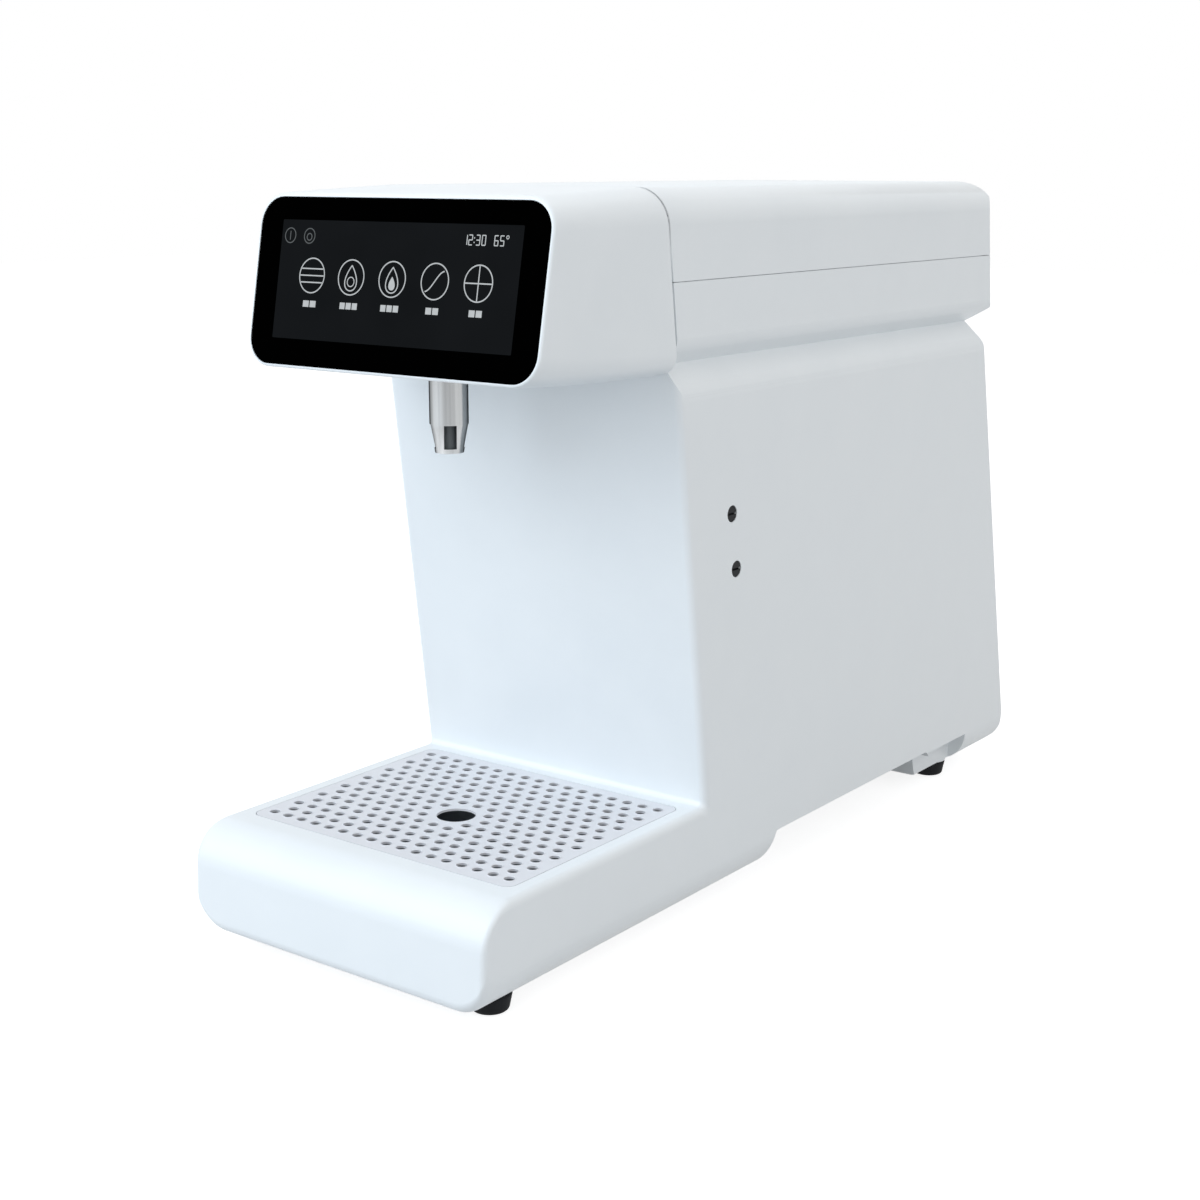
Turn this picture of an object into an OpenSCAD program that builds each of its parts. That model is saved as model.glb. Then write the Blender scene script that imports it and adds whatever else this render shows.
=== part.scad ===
// Counter-top milk foam dispenser. It draws milk from an inner tank, mixes it with air in a gear pump,
// warms it when asked, and lets the foam out of a nozzle above a drip tray.
// Millimetres. X to the viewer's right, Y to the back, Z up, counter at Z = 0, front towards -Y.

/* [Housing] */
// Width of the housing
body_w = 200; // [196:1:220]
// Wall thickness of the mouldings
wall = 3; // [2.5:0.25:3.5]
// Height of the rubber feet
foot_h = 10; // [9:0.5:14]
// Height of the base, from its pads to its deck
base_h = 55.5; // [54:0.5:62]
// Rise of the belly between the front and rear pads
belly_h = 21.5; // [19:0.5:23]
// Height of the front wall, from the deck to the waist
tower_h = 225.6; // [222:0.2:240]
// Distance of the front wall's foot in front of the middle
front_y = 93; // [91:0.5:96]
// Lean of the front wall, in degrees
front_lean = 7.07; // [6:0.01:8]
// Reach of the base in front of the front wall
nose_reach = 185.9; // [184:0.1:200]
// Distance of the nose's upper corner behind its lower corner
nose_back = 2; // [1:0.5:6]
// Radius of the nose's upper edge
nose_top_r = 20; // [16:1:24]
// Radius of the nose's lower edge
nose_low_r = 5; // [4:0.5:10]
// Radius of the pads' side edges
pad_side_r = 20; // [12:1:22]
// Distance of the rear wall's top behind the middle
rear_y = 223.1; // [222:0.1:230]
// Lean of the rear wall, in degrees
rear_lean = 11.83; // [11:0.01:13]
// Radius of the rear lower edge
rear_low_r = 14; // [8:1:16]
// Distance of the front pad's end in front of the middle
pad_front_end = 26; // [22:1:30]
// Distance of the rear pad's start behind the middle
pad_rear_start = 172; // [168:1:176]
// Length of the step from pad to belly
step_len = 6; // [4:0.5:10]
// Radius of the belly's steps
step_r = 5; // [4:0.5:7]
// Radius of the tower's front edges
tower_edge_r = 4; // [2:0.5:6]
// Radius of the small edges and fillets
small_r = 3; // [2:0.5:4]

/* [Waist, collar and lid] */
// Height of the slope below the waist groove
waist_low_h = 14.4; // [12:0.2:16]
// Height of the slope above the waist groove
waist_up_h = 9; // [8:0.5:11]
// Depth of the waist groove
waist_in = 10; // [8:0.5:11]
// Height of the collar's side above the waist
collar_h = 32; // [31:0.5:36]
// Height of the lid, with the seam below it
lid_h = 46; // [42:1:52]
// Width of the seams between mouldings
seam = 0.4; // [0.3:0.1:0.8]
// Distance of the crown's rear face behind the middle
crown_y = 234.5; // [233:0.5:238]
// Lean of the crown's rear face, in degrees
crown_lean = 6.7; // [5:0.1:8]
// Radius of the crown's upper side edges
crown_side_r = 18; // [14:1:20]
// Radius of the crown's upper rear edge
crown_rear_r = 20; // [14:1:22]
// Radius of the crown's upright rear edges
crown_edge_r = 8; // [5:1:9]
// Thickness of the collar's floor
collar_floor = 4; // [3:0.5:5]

/* [Head and display] */
// Height of the head's underside above the waist's lower edge
head_rise = 9.4; // [8:0.2:11]
// Radius of the head's lower side edges
head_low_r = 10; // [6:1:12]
// Radius of the head's front edges
head_front_r = 4; // [2:0.5:4.5]
// Thickness of the head's front frame
head_front_t = 7; // [6:0.5:8]
// Distance of the glass's lower edge in front of the middle
disp_y = 230.2; // [228:0.2:234]
// Height of the glass's lower edge above the head's underside
disp_rise = 4.2; // [4:0.1:5]
// Lean of the display, in degrees
disp_lean = 10.8; // [9:0.1:12]
// Width of the glass
glass_w = 188; // [180:1:190]
// Height of the glass
glass_h = 84; // [80:1:85]
// Corner radius of the glass
glass_r = 14; // [8:1:18]
// Thickness of the glass
glass_t = 3; // [2:0.5:4]
// Width of the screen module
lcd_w = 164; // [156:1:166]
// Height of the screen module
lcd_h = 64; // [60:1:66]
// Thickness of the screen module
lcd_t = 7; // [5:0.5:8]

/* [Nozzle] */
// Distance of the nozzle in front of the middle
nozzle_y = 182.5; // [181:0.5:184]
// Radius of the nozzle sleeve
nozzle_r = 10; // [9.5:0.1:11]
// Radius of the sleeve's tip
nozzle_tip_r = 7.35; // [7.2:0.05:8.5]
// Radius of the sleeve's bore
sleeve_bore_r = 7.3; // [7.2:0.1:8]
// Length of the sleeve below the head
nozzle_drop = 40; // [38:1:48]
// Length of the sleeve's taper
nozzle_taper = 15; // [13:1:17]
// Width of the windows in the taper
window_w = 6.4; // [5:0.2:6.6]
// Radius of the spigot that the sleeve hangs on
spigot_r = 6.5; // [6.2:0.1:6.6]

/* [Drip tray] */
// Width of the drip grid
grid_w = 178; // [174:1:180]
// Depth of the drip grid
grid_d = 144; // [138:1:144]
// Distance of the grid behind its front wall edge
grid_back = 9; // [8:1:12]
// Thickness of the grid's sheet
grid_t = 1.2; // [1:0.1:1.5]
// Height of the grid's folded rim
grid_rim = 2.4; // [2:0.1:2.8]
// Corner radius of the grid
grid_r = 6; // [4:1:10]
// Distance between neighbouring holes in a row
hole_pitch = 10.16; // [9.8:0.02:10.3]
// Distance between rows of holes
row_pitch = 8.92; // [8.5:0.02:9]
// Radius of the drain holes
hole_r = 3; // [2.4:0.1:3.4]
// Radius of the hole under the nozzle
centre_hole_r = 10.5; // [8:0.5:11]
// Holes in the outer rows
holes_per_row = 17; // [15:2:17]
// Rows of holes
hole_rows = 15; // [13:2:15]
// Depth of the drip tray
tray_h = 38; // [30:1:40]
// Width of the ledge that carries the tray
ledge_w = 5.4; // [4:0.2:6]
// Thickness of the tray
tray_t = 1.5; // [1.2:0.1:1.8]
// Free gap between parts that lift off and their seats
lift_gap = 0.3; // [0.3:0.05:0.5]

/* [Milk tank and cooling] */
// Width of the milk tank
tank_w = 132; // [126:1:134]
// Length of the milk tank
tank_l = 180; // [176:1:182]
// Distance of the tank's middle behind the machine's middle
tank_y = 62; // [61:0.5:63]
// Height of the tank below its flange
tank_h = 186; // [180:1:190]
// Thickness of the tank's sheet
tank_t = 1.2; // [1:0.1:1.5]
// Corner radius of the tank
tank_r = 10; // [9:1:14]
// Width of the tank's flange
flange_w = 8; // [6:0.5:9]
// Height of the tank's flange above the collar's floor
flange_rise = 25; // [24:0.5:26]
// Thickness of the insulating jacket
jacket_t = 14; // [12:0.5:15]
// Edge length of the cold block
cold_w = 44; // [40:1:46]
// Thickness of the thermoelectric module
peltier_t = 4; // [3:0.5:5]
// Edge length of the fan and heat sink
fan_w = 92; // [80:1:94]
// Depth of the heat sink
sink_d = 30; // [24:1:31]
// Depth of the fan
fan_d = 25; // [20:1:26]
// Height of the fan's axis above the tank's floor
fan_rise = 53; // [51:0.5:54]

/* [Pump and hoses] */
// Height of the drive gear's axis above the inner floor
pump_z = 36; // [34:0.5:38]
// Distance between the gear axes
gear_axis = 20; // [20:0.1:20.2]
// Teeth of each gear
gear_teeth = 10; // [9:1:11]
// Radius over the gear teeth
gear_r = 12; // [11.6:0.1:12]
// Length of the gears
gear_l = 19; // [16:1:22]
// Distance of the pump cover's face behind the middle
pump_y = 4; // [3:0.5:6]
// Radius of the pump motor
motor_r = 22; // [18:1:24]
// Length of the pump motor
motor_l = 63; // [50:1:70]
// Outer radius of the milk hoses
hose_r = 5.5; // [5:0.25:6]
// Inner radius of the milk hoses
hose_bore_r = 4; // [3.6:0.1:4.2]
// Distance of the foam riser in front of the middle
riser_y = 72; // [71:0.5:73]
// Radius of the flow heater
heater_r = 17; // [14:0.5:18]
// Length of the flow heater
heater_l = 130; // [110:1:134]

/* [Side adjusters] */
// Radius of the adjusters' heads
knob_r = 4.25; // [3.5:0.05:5]
// Distance of the upper adjuster in front of the middle
knob_upper_y = 71.8; // [70:0.2:73]
// Height of the upper adjuster
knob_upper_z = 223.2; // [221:0.2:227]
// Distance of the lower adjuster in front of the middle
knob_lower_y = 66.8; // [65:0.2:68]
// Height of the lower adjuster
knob_lower_z = 192.6; // [190:0.2:195]
// Free gap round a turning part
turn_gap = 0.3; // [0.3:0.05:0.5]

/* [Hinge, feet and rear] */
// Distance of the hinge axis behind the crown's face at the seam
hinge_out = 6.3; // [6:0.1:8]
// Radius of the hinge knuckles
knuckle_r = 5; // [4.5:0.1:5.2]
// Radius of the hinge pins
pin_r = 2.5; // [2:0.1:3]
// Distance of each hinge from the middle
hinge_x = 55; // [45:1:70]
// Width of a lid knuckle
knuckle_w = 12; // [10:1:16]
// Radius of the feet at the housing
foot_r = 11.5; // [10:0.5:12]
// Radius of the feet at the counter
foot_low_r = 9.5; // [8:0.5:10]
// Distance of each foot from the middle plane
foot_x = 76; // [70:1:77]
// Distance of the front feet in front of the middle
foot_front_y = 246; // [240:1:251]
// Distance of the rear feet behind the middle
foot_rear_y = 215; // [200:1:230]
// Width of the rear cover
cover_w = 164; // [156:1:168]
// Height of the rear cover
cover_h = 214; // [206:1:216]
// Thickness of the rear cover
cover_t = 2; // [1.5:0.1:2.5]
// Height of the rear cover's middle
cover_z = 156.5; // [154:0.5:160]
// Length of the grip notches
grip_l = 53; // [46:1:56]
// Depth of the grip notches
grip_d = 12; // [8:1:13]
// Height of the grip notches, which are open below
grip_h = 20; // [16:0.5:21]

/* [Hidden] */
$fn = 48;
eps = 0.01;
reach = 700;
half_w = body_w / 2;
pad_z = foot_h;
floor_z = pad_z + wall;
belly_z = pad_z + belly_h;
belly_floor_z = belly_z + wall;
deck_z = pad_z + base_h;
waist_z0 = deck_z + tower_h;
waist_z = waist_z0 + waist_low_h;
collar_z = waist_z + waist_up_h;
seam_z = collar_z + collar_h;
top_z = seam_z + lid_h;
head_z = waist_z0 + head_rise;
disp_z = head_z + disp_rise;
inner_w = half_w - wall;

// Planes of the outer skin at a given height
function front_at(z) = -front_y - (z - deck_z) * tan(front_lean);
function rear_at(z) = rear_y + (waist_z0 - z) * tan(rear_lean);
function crown_at(z) = crown_y - (z - collar_z) * tan(crown_lean);
function disp_at(z) = -disp_y + (z - disp_z) * tan(disp_lean);

// Outlines with rounded corners: each point is [x, y, radius], counter-clockwise
function xy(v) = [v[0], v[1]];
function before(p, i) = xy(p[(i + len(p) - 1) % len(p)]);
function after(p, i) = xy(p[(i + 1) % len(p)]);
function way(a, b) = (b - a) / norm(b - a);
function way_in(p, i) = way(before(p, i), xy(p[i]));
function way_out(p, i) = way(xy(p[i]), after(p, i));
function turn_at(p, i) = cross(way_in(p, i), way_out(p, i));
function setback(p, i) = p[i][2] * tan(acos(way_in(p, i) * way_out(p, i)) / 2);
function left_of(u) = [-u[1], u[0]];
function corner(p, i) = p[i][2] == 0 ? [xy(p[i])]
  : [xy(p[i]) - way_in(p, i) * setback(p, i), xy(p[i]) + way_out(p, i) * setback(p, i)];
function centre_of(p, i) = xy(p[i]) - way_in(p, i) * setback(p, i)
  + sign(turn_at(p, i)) * p[i][2] * left_of(way_in(p, i));
function moved_in(p, i, d) = let (a = left_of(way_in(p, i)), b = left_of(way_out(p, i)))
  xy(p[i]) + d * (a + b) / (1 + a * b);
function radius_in(p, i, d) = p[i][2] == 0 ? 0 : turn_at(p, i) > 0 ? max(p[i][2] - d, 0) : p[i][2] + d;
function inset(p, d) = [for (i = [0 : len(p) - 1])
  let (q = moved_in(p, i, d)) [q[0], q[1], radius_in(p, i, d)]];
function rect(w, h, r) = [[-w / 2, -h / 2, r], [w / 2, -h / 2, r], [w / 2, h / 2, r], [-w / 2, h / 2, r]];

// With a lap, each round runs that much past the faces it joins, so that it meets them at a slight angle
module rounded(p, lap = 0) {
  ends = [0 : len(p) - 1];
  difference() {
    union() {
      polygon([for (i = ends) each corner(p, i)]);
      for (i = ends) if (p[i][2] > 0 && turn_at(p, i) > 0)
        translate(centre_of(p, i)) circle(r = p[i][2] + lap);
    }
    for (i = ends) if (p[i][2] > 0 && turn_at(p, i) < 0)
      translate(centre_of(p, i)) circle(r = p[i][2] + lap);
  }
}

module along_x(w) rotate([90, 0, 90]) linear_extrude(w, center = true) children();
module along_y() translate([0, reach / 2, 0]) rotate([90, 0, 0]) linear_extrude(reach) children();
module plate(w, h, r, t) linear_extrude(t) rounded(rect(w, h, r));
module box(a, b) translate(a) cube(b - a);
module both_sides() for (side = [0, 1]) mirror([side, 0, 0]) children();
module at_display() translate([0, -disp_y, disp_z]) rotate([90 - disp_lean, 0, 0]) children();
module at_rear(off = 0) translate([0, rear_at(cover_z) + off, cover_z])
  rotate([0, 0, 180]) rotate([90 - rear_lean, 0, 0]) children();
module on_axis(o, ex, ey) {
  ez = cross(ex, ey);
  multmatrix([for (i = [0 : 2]) [ex[i], ey[i], ez[i], o[i]]]) children();
}
module rod_x(x0, x1, y, z, r) translate([x0, y, z]) rotate([0, 90, 0]) cylinder(r = r, h = x1 - x0);
module rod_y(y0, y1, x, z, r) translate([x, y0, z]) rotate([-90, 0, 0]) cylinder(r = r, h = y1 - y0);
module rod_z(z0, z1, x, y, r) translate([x, y, z0]) cylinder(r = r, h = z1 - z0);
module ring(r, bore) difference() {
  circle(r = r);
  circle(r = bore);
}
module elbow(bend, r, bore) rotate_extrude(angle = 90) translate([bend, 0]) ring(r, bore);
module pipe(l, r, bore) linear_extrude(l) ring(r, bore);
module screw(r, l, head_r, head_h) {
  difference() {
    cylinder(r = head_r, h = head_h);
    translate([0, 0, head_h / 2]) cylinder(r = head_r / 2, h = head_h, $fn = 6);
  }
  translate([0, 0, -l]) cylinder(r = r, h = l + head_h / 4);
}

// Outer outlines of the mouldings, seen from the side and from the front
housing_side = [
  [-front_y - nose_reach, pad_z, nose_low_r],
  [-pad_front_end, pad_z, step_r],
  [-pad_front_end + step_len, belly_z, step_r],
  [pad_rear_start - step_len, belly_z, step_r],
  [pad_rear_start, pad_z, step_r],
  [rear_at(pad_z), pad_z, rear_low_r],
  [rear_at(waist_z0), waist_z0, small_r],
  [rear_at(waist_z0) - waist_in, waist_z, 0],
  [front_at(waist_z), waist_z, 0],
  [front_at(deck_z), deck_z, small_r],
  [-front_y - nose_reach + nose_back, deck_z, nose_top_r]];
housing_front = [
  [-half_w, pad_z, pad_side_r],
  [half_w, pad_z, pad_side_r],
  [half_w, waist_z0, small_r],
  [half_w - waist_in, waist_z, 0],
  [-half_w + waist_in, waist_z, 0],
  [-half_w, waist_z0, small_r]];
function collar_side(top) = [
  [front_at(waist_z), waist_z, 0],
  [rear_at(waist_z0) - waist_in, waist_z, 0],
  [crown_at(collar_z), collar_z, small_r],
  [crown_at(top), top, 0],
  [front_at(top), top, 0]];
function collar_front(top) = [
  [-half_w + waist_in, waist_z, 0],
  [half_w - waist_in, waist_z, 0],
  [half_w, collar_z, small_r],
  [half_w, top, 0],
  [-half_w, top, 0],
  [-half_w, collar_z, small_r]];
function lid_side(low) = [
  [front_at(low), low, 0],
  [crown_at(low), low, 0],
  [crown_at(top_z), top_z, crown_rear_r],
  [front_at(top_z), top_z, 0]];
function lid_front(low) = [
  [-half_w, low, 0],
  [half_w, low, 0],
  [half_w, top_z, crown_side_r],
  [-half_w, top_z, crown_side_r]];
head_back = seam / cos(front_lean);
head_side = [
  [disp_at(head_z), head_z, head_front_r],
  [front_at(head_z) - head_back, head_z, 0],
  [front_at(top_z) - head_back, top_z, 0],
  [disp_at(top_z), top_z, head_front_r]];
head_front = [
  [-half_w, head_z, head_low_r],
  [half_w, head_z, head_low_r],
  [half_w, top_z, crown_side_r],
  [-half_w, top_z, crown_side_r]];

round_lap = 0.005;
module crossed(side, front) intersection() {
  along_x(reach) rounded(side, round_lap);
  along_y() rounded(front, round_lap);
}

// What lies outside a rounded upright edge; the round meets the faces at a slight angle
module edge_outside(r, l) linear_extrude(l) difference() {
  square(r + 2);
  circle(r = r);
}
edge_sink = 0.98;
module crown_edges_outside() both_sides()
  translate([half_w - edge_sink * crown_edge_r, crown_at(waist_z) - edge_sink * crown_edge_r, waist_z])
    rotate([crown_lean, 0, 0]) translate([0, 0, -wall]) edge_outside(crown_edge_r, reach);
edge_start = 1.5 * small_r;
module tower_edges_outside() both_sides()
  translate([half_w - edge_sink * tower_edge_r, front_at(deck_z) + edge_sink * tower_edge_r, deck_z])
    rotate([front_lean, 0, 0]) translate([0, 0, edge_start]) mirror([0, 1, 0])
      edge_outside(tower_edge_r, head_z - deck_z - edge_start);

// Places shared by several parts
grid_y1 = -front_y - grid_back;
grid_y0 = grid_y1 - grid_d;
grid_mid = (grid_y0 + grid_y1) / 2;
tray_seat_z = deck_z - grid_rim - lift_gap - tray_t - lift_gap;
grip_step = 1;
grip_y0 = pad_rear_start - step_len + grip_step;
grip_y1 = grip_y0 + grip_l;
grip_z = pad_z + grip_h;
bottom_hole = [[-82, 10], [-32, 125]];
bottom_lap = 10;
bottom_screw_out = 6;
top_rim = 4;
foot_spots = [for (x = [-1, 1], y = [-foot_front_y, foot_rear_y]) [x * foot_x, y]];
foot_screw_r = 2;
foot_boss_h = 10;
small_boss_h = 6;
boss_wall = 3;
cover_lap = 10;
cover_r = 8;
cover_spots = [for (x = [-1, 1], y = [-1, 0, 1])
  [x * (cover_w - cover_lap) / 2, y * (cover_h - cover_lap) / 2]];
bottom_spots = [for (x = [bottom_hole[0][0] - bottom_screw_out, bottom_hole[1][0] + bottom_screw_out],
  y = [bottom_hole[0][1] - bottom_screw_out, bottom_hole[1][1] + bottom_screw_out]) [x, y]];
small_screw_r = 1.5;
screw_gap = 0.1;
rest_gap = 0.05;
knobs = [[-knob_upper_y, knob_upper_z], [-knob_lower_y, knob_lower_z]];

module grid_sheet(grow) translate([0, grid_mid])
  rounded(rect(grid_w + 2 * grow, grid_d + 2 * grow, grid_r + grow));

// One moulding: base, tower and waist slope, with the seats of what is fixed to it
module main_housing() color("white") difference() {
  union() {
    difference() {
      crossed(housing_side, housing_front);
      crossed(inset(housing_side, wall), inset(housing_front, wall));
    }
    difference() {
      translate([0, 0, tray_seat_z - wall]) linear_extrude(deck_z - 1 - tray_seat_z + wall)
        grid_sheet(wall);
      translate([0, 0, tray_seat_z - reach / 2]) linear_extrude(reach) grid_sheet(-ledge_w);
    }
    intersection() {
      crossed(housing_side, housing_front);
      both_sides() box([inner_w - grip_d, grip_y0 - wall, pad_z],
        [half_w, grip_y1 + wall, grip_z + wall]);
    }
    for (p = foot_spots) {
      rod_z(pad_z, floor_z, p[0], p[1], foot_r);
      rod_z(floor_z - 1, floor_z + foot_boss_h, p[0], p[1], foot_screw_r + boss_wall);
    }
    at_rear() for (p = cover_spots) translate([p[0], p[1], -wall - small_boss_h])
      cylinder(r = small_screw_r + boss_wall, h = small_boss_h + 1);
    for (p = bottom_spots)
      rod_z(belly_floor_z - 1, belly_floor_z + small_boss_h, p[0], p[1], small_screw_r + boss_wall);
  }
  tower_edges_outside();
  translate([0, 0, tray_seat_z]) linear_extrude(deck_z + 1 - tray_seat_z) grid_sheet(seam);
  translate([0, 0, tray_seat_z - 2 * wall]) linear_extrude(deck_z - tray_seat_z + 2 * wall)
    grid_sheet(-ledge_w);
  box([-half_w + waist_in + top_rim, front_at(waist_z) + wall + top_rim, waist_z - 2 * wall],
    [half_w - waist_in - top_rim, rear_at(waist_z0) - waist_in - wall - top_rim, waist_z + 1]);
  at_rear() translate([0, 0, -4 * wall])
    plate(cover_w - 2 * cover_lap, cover_h - 2 * cover_lap, cover_r, 6 * wall);
  at_rear() for (p = cover_spots) translate([p[0], p[1], -4 * wall])
    cylinder(r = small_screw_r + screw_gap, h = 6 * wall);
  box([bottom_hole[0][0], bottom_hole[0][1], belly_z - 1],
    [bottom_hole[1][0], bottom_hole[1][1], belly_floor_z + 1]);
  for (p = bottom_spots)
    rod_z(belly_z - 1, belly_floor_z + small_boss_h + 1, p[0], p[1], small_screw_r + screw_gap);
  for (k = knobs) rod_x(inner_w - 1, half_w + 1, k[0], k[1], knob_r + turn_gap);
  for (p = foot_spots)
    rod_z(pad_z - 1, floor_z + foot_boss_h - boss_wall + 1, p[0], p[1], foot_screw_r + screw_gap);
  both_sides() box([half_w - grip_d, grip_y0, pad_z - 1], [half_w + 1, grip_y1, grip_z]);
}

bottom_cover_t = 2;
vent_w = 4;
vent_end_r = 1.9;
module bottom_cover() color("gainsboro") {
  low = bottom_hole[0] - [bottom_lap, bottom_lap];
  high = bottom_hole[1] + [bottom_lap, bottom_lap];
  mid = (low + high) / 2;
  slots = 9;
  slot_pitch = 11;
  slot_l = 42;
  translate([mid[0], mid[1], belly_z - bottom_cover_t]) difference() {
    plate(high[0] - low[0], high[1] - low[1], small_r, bottom_cover_t);
    for (i = [0 : slots - 1]) translate([0, (i - (slots - 1) / 2) * slot_pitch, -1])
      plate(slot_l, vent_w, vent_end_r, bottom_cover_t + 2);
    for (p = bottom_spots) translate([p[0] - mid[0], p[1] - mid[1], -1])
      cylinder(r = small_screw_r + screw_gap, h = bottom_cover_t + 2);
  }
}

// Places on the rear cover, in its own plane
fan_vent = [94, 10, 4];
side_vent = [40, 5, -84];
side_vent_x = 50;
vent_pitch = 9;
inlet_at = [-46, -68];
switch_at = [6, -68];
inlet_hole = [28, 21];
switch_hole = [19.4, 13.4];

// A field of air slots: length, count and height of the lowest
module vents(x, field) for (i = [0 : field[1] - 1]) translate([x, field[2] + i * vent_pitch, -1])
  plate(field[0], vent_w, vent_end_r, cover_t + 2);

module rear_cover() color("white") at_rear(rest_gap) difference() {
  plate(cover_w, cover_h, cover_r, cover_t);
  vents(0, fan_vent);
  vents(side_vent_x, side_vent);
  translate([inlet_at[0], inlet_at[1], -1]) plate(inlet_hole[0], inlet_hole[1], 2, cover_t + 2);
  translate([switch_at[0], switch_at[1], -1]) plate(switch_hole[0], switch_hole[1], 1, cover_t + 2);
  for (p = cover_spots) translate([p[0], p[1], -1])
    cylinder(r = small_screw_r + screw_gap, h = cover_t + 2);
}

// The collar carries the tank's flange on an upright rim, and the lid's hinge knuckles
collar_floor_z = waist_z + collar_floor;
flange_z = collar_floor_z + flange_rise;
rim_t = 4;
tank_gap = 1;
tank_y0 = tank_y - tank_l / 2;
tank_y1 = tank_y + tank_l / 2;
foam_z = flange_z;
foam_bend = 14;
hinge_y = crown_at(seam_z) + hinge_out;
side_knuckle_w = knuckle_w / 2;
knuckle_gap = 0.5;
hose_gap = 1;
head_boss = [20, 30, 27];
head_screw_spots = [for (x = [-1, 1], z = [7, 21]) [x * (half_w - 14), collar_floor_z + z]];

module tank_sheet(grow) translate([0, tank_y])
  rounded(rect(tank_w + 2 * grow, tank_l + 2 * grow, tank_r + grow));

module knuckle(x0, x1, low, high) {
  rod_x(x0, x1, hinge_y, seam_z, knuckle_r);
  box([x0, crown_at(seam_z) - wall, low], [x1, hinge_y, high]);
}
lid_knuckle = [hinge_x - knuckle_w / 2, hinge_x + knuckle_w / 2];
pin_ends = [lid_knuckle[0] - knuckle_gap - side_knuckle_w, lid_knuckle[1] + knuckle_gap + side_knuckle_w];

module tank_collar() color("white") difference() {
  union() {
    difference() {
      crossed(collar_side(seam_z), collar_front(seam_z));
      intersection() {
        crossed(inset(collar_side(seam_z + 4 * wall), wall), inset(collar_front(seam_z + 4 * wall), wall));
        translate([0, 0, collar_floor_z + reach / 2]) cube(reach, center = true);
      }
    }
    translate([0, 0, waist_z]) linear_extrude(flange_z - waist_z) tank_sheet(tank_gap + rim_t);
    both_sides() for (x = [pin_ends[0], pin_ends[1] - side_knuckle_w])
      knuckle(x, x + side_knuckle_w, seam_z - 2 * knuckle_r, seam_z - 1);
  }
  crown_edges_outside();
  translate([0, 0, waist_z - 1]) linear_extrude(reach) tank_sheet(tank_gap);
  rod_z(waist_z - 1, collar_floor_z + 1, 0, -riser_y, hose_r + hose_gap);
  rod_y(front_at(foam_z) - 2 * wall, front_at(foam_z) + 2 * wall, 0, foam_z, hose_r + hose_gap);
  for (p = head_screw_spots)
    rod_y(front_at(p[1]) - 2 * wall, front_at(p[1]) + 2 * wall, p[0], p[1], small_screw_r + screw_gap);
  both_sides() rod_x(pin_ends[0] - 1, pin_ends[1] + 1, hinge_y, seam_z, pin_r + screw_gap / 2);
  both_sides()
    rod_x(lid_knuckle[0] - knuckle_gap, lid_knuckle[1] + knuckle_gap, hinge_y, seam_z, knuckle_r + 1);
}

// The head's front frame has a pocket for the glass and a window for the screen
pocket_gap = 0.3;
pocket_d = glass_t + 0.2;
lcd_gap = 1;
outlet_w = 40;
nozzle_gap = 0.5;
head_cavity_side = [
  [disp_at(head_z + wall) + head_front_t / cos(disp_lean), head_z + wall, 0],
  [front_at(head_z + wall) + 2 * wall, head_z + wall, 0],
  [front_at(top_z - wall) + 2 * wall, top_z - wall, 0],
  [disp_at(top_z - wall) + head_front_t / cos(disp_lean), top_z - wall, 0]];

module head_shell() color("white") difference() {
  union() {
    difference() {
      crossed(head_side, head_front);
      crossed(head_cavity_side, inset(head_front, wall));
    }
    intersection() {
      crossed(head_side, head_front);
      both_sides() box([half_w - head_boss[0], front_at(head_z) - head_boss[1], collar_floor_z + 1],
        [half_w - 1, 0, collar_floor_z + head_boss[2]]);
    }
  }
  at_display() translate([0, glass_h / 2, -pocket_d])
    plate(glass_w + 2 * pocket_gap, glass_h + 2 * pocket_gap, glass_r + pocket_gap, glass_w);
  at_display() translate([0, glass_h / 2, -2 * head_front_t])
    plate(lcd_w + 2 * lcd_gap, lcd_h + 2 * lcd_gap, 2 * lcd_gap, 4 * head_front_t);
  rod_z(head_z - 1, head_z + wall + 1, 0, -nozzle_y, nozzle_r + nozzle_gap);
  for (p = head_screw_spots) rod_y(-nozzle_y, 0, p[0], p[1], small_screw_r + screw_gap);
}

module display_glass() color("black") at_display() translate([0, glass_h / 2, -glass_t])
  plate(glass_w, glass_h, glass_r, glass_t);

module lcd_module() color("dimgray") at_display() translate([0, glass_h / 2, -glass_t - lcd_t])
  plate(lcd_w, lcd_h, lcd_gap, lcd_t);

board_t = 1.6;
board_gap = 4;
board_size = [140, 46];
board_up = 8;
post_r = 2.5;
module display_board() color("seagreen") at_display()
  translate([0, glass_h / 2 + board_up, -glass_t - lcd_t - board_gap]) {
    chips = [[-40, 4, 22, 16, 3], [0, 6, 14, 14, 2], [38, 4, 20, 12, 4], [10, -12, 30, 8, 6]];
    post = board_size / 2 - [6, 5];
    translate([0, 0, -board_t]) plate(board_size[0], board_size[1], 2, board_t);
    for (x = [-1, 1], y = [-1, 1]) translate([x * post[0], y * post[1], 0])
      cylinder(r = post_r, h = board_gap);
    for (c = chips) translate([c[0], c[1], -board_t - c[4]]) plate(c[2], c[3], 0.5, c[4]);
  }

// Outlet: a block on the head's floor, its spigot with an O-ring, the soft outlet tube and the sleeve
outlet_z = head_z + wall;
outlet_t = 7;
spigot_l = 25;
tube_r = 4.8;
tube_bore_r = 3.2;
tube_socket = 10;
ring_r = 1.2;
ring_drop = 11;
barb_l = 12;
outlet_barb_l = foam_z - foam_bend - outlet_z - outlet_t - 1;
ring_mid_r = sleeve_bore_r - lift_gap - ring_r;
barb_gap = 0.2;
barb_wall = 1;
barb_r = hose_bore_r - barb_gap;
tip_z = head_z - nozzle_drop;

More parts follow.
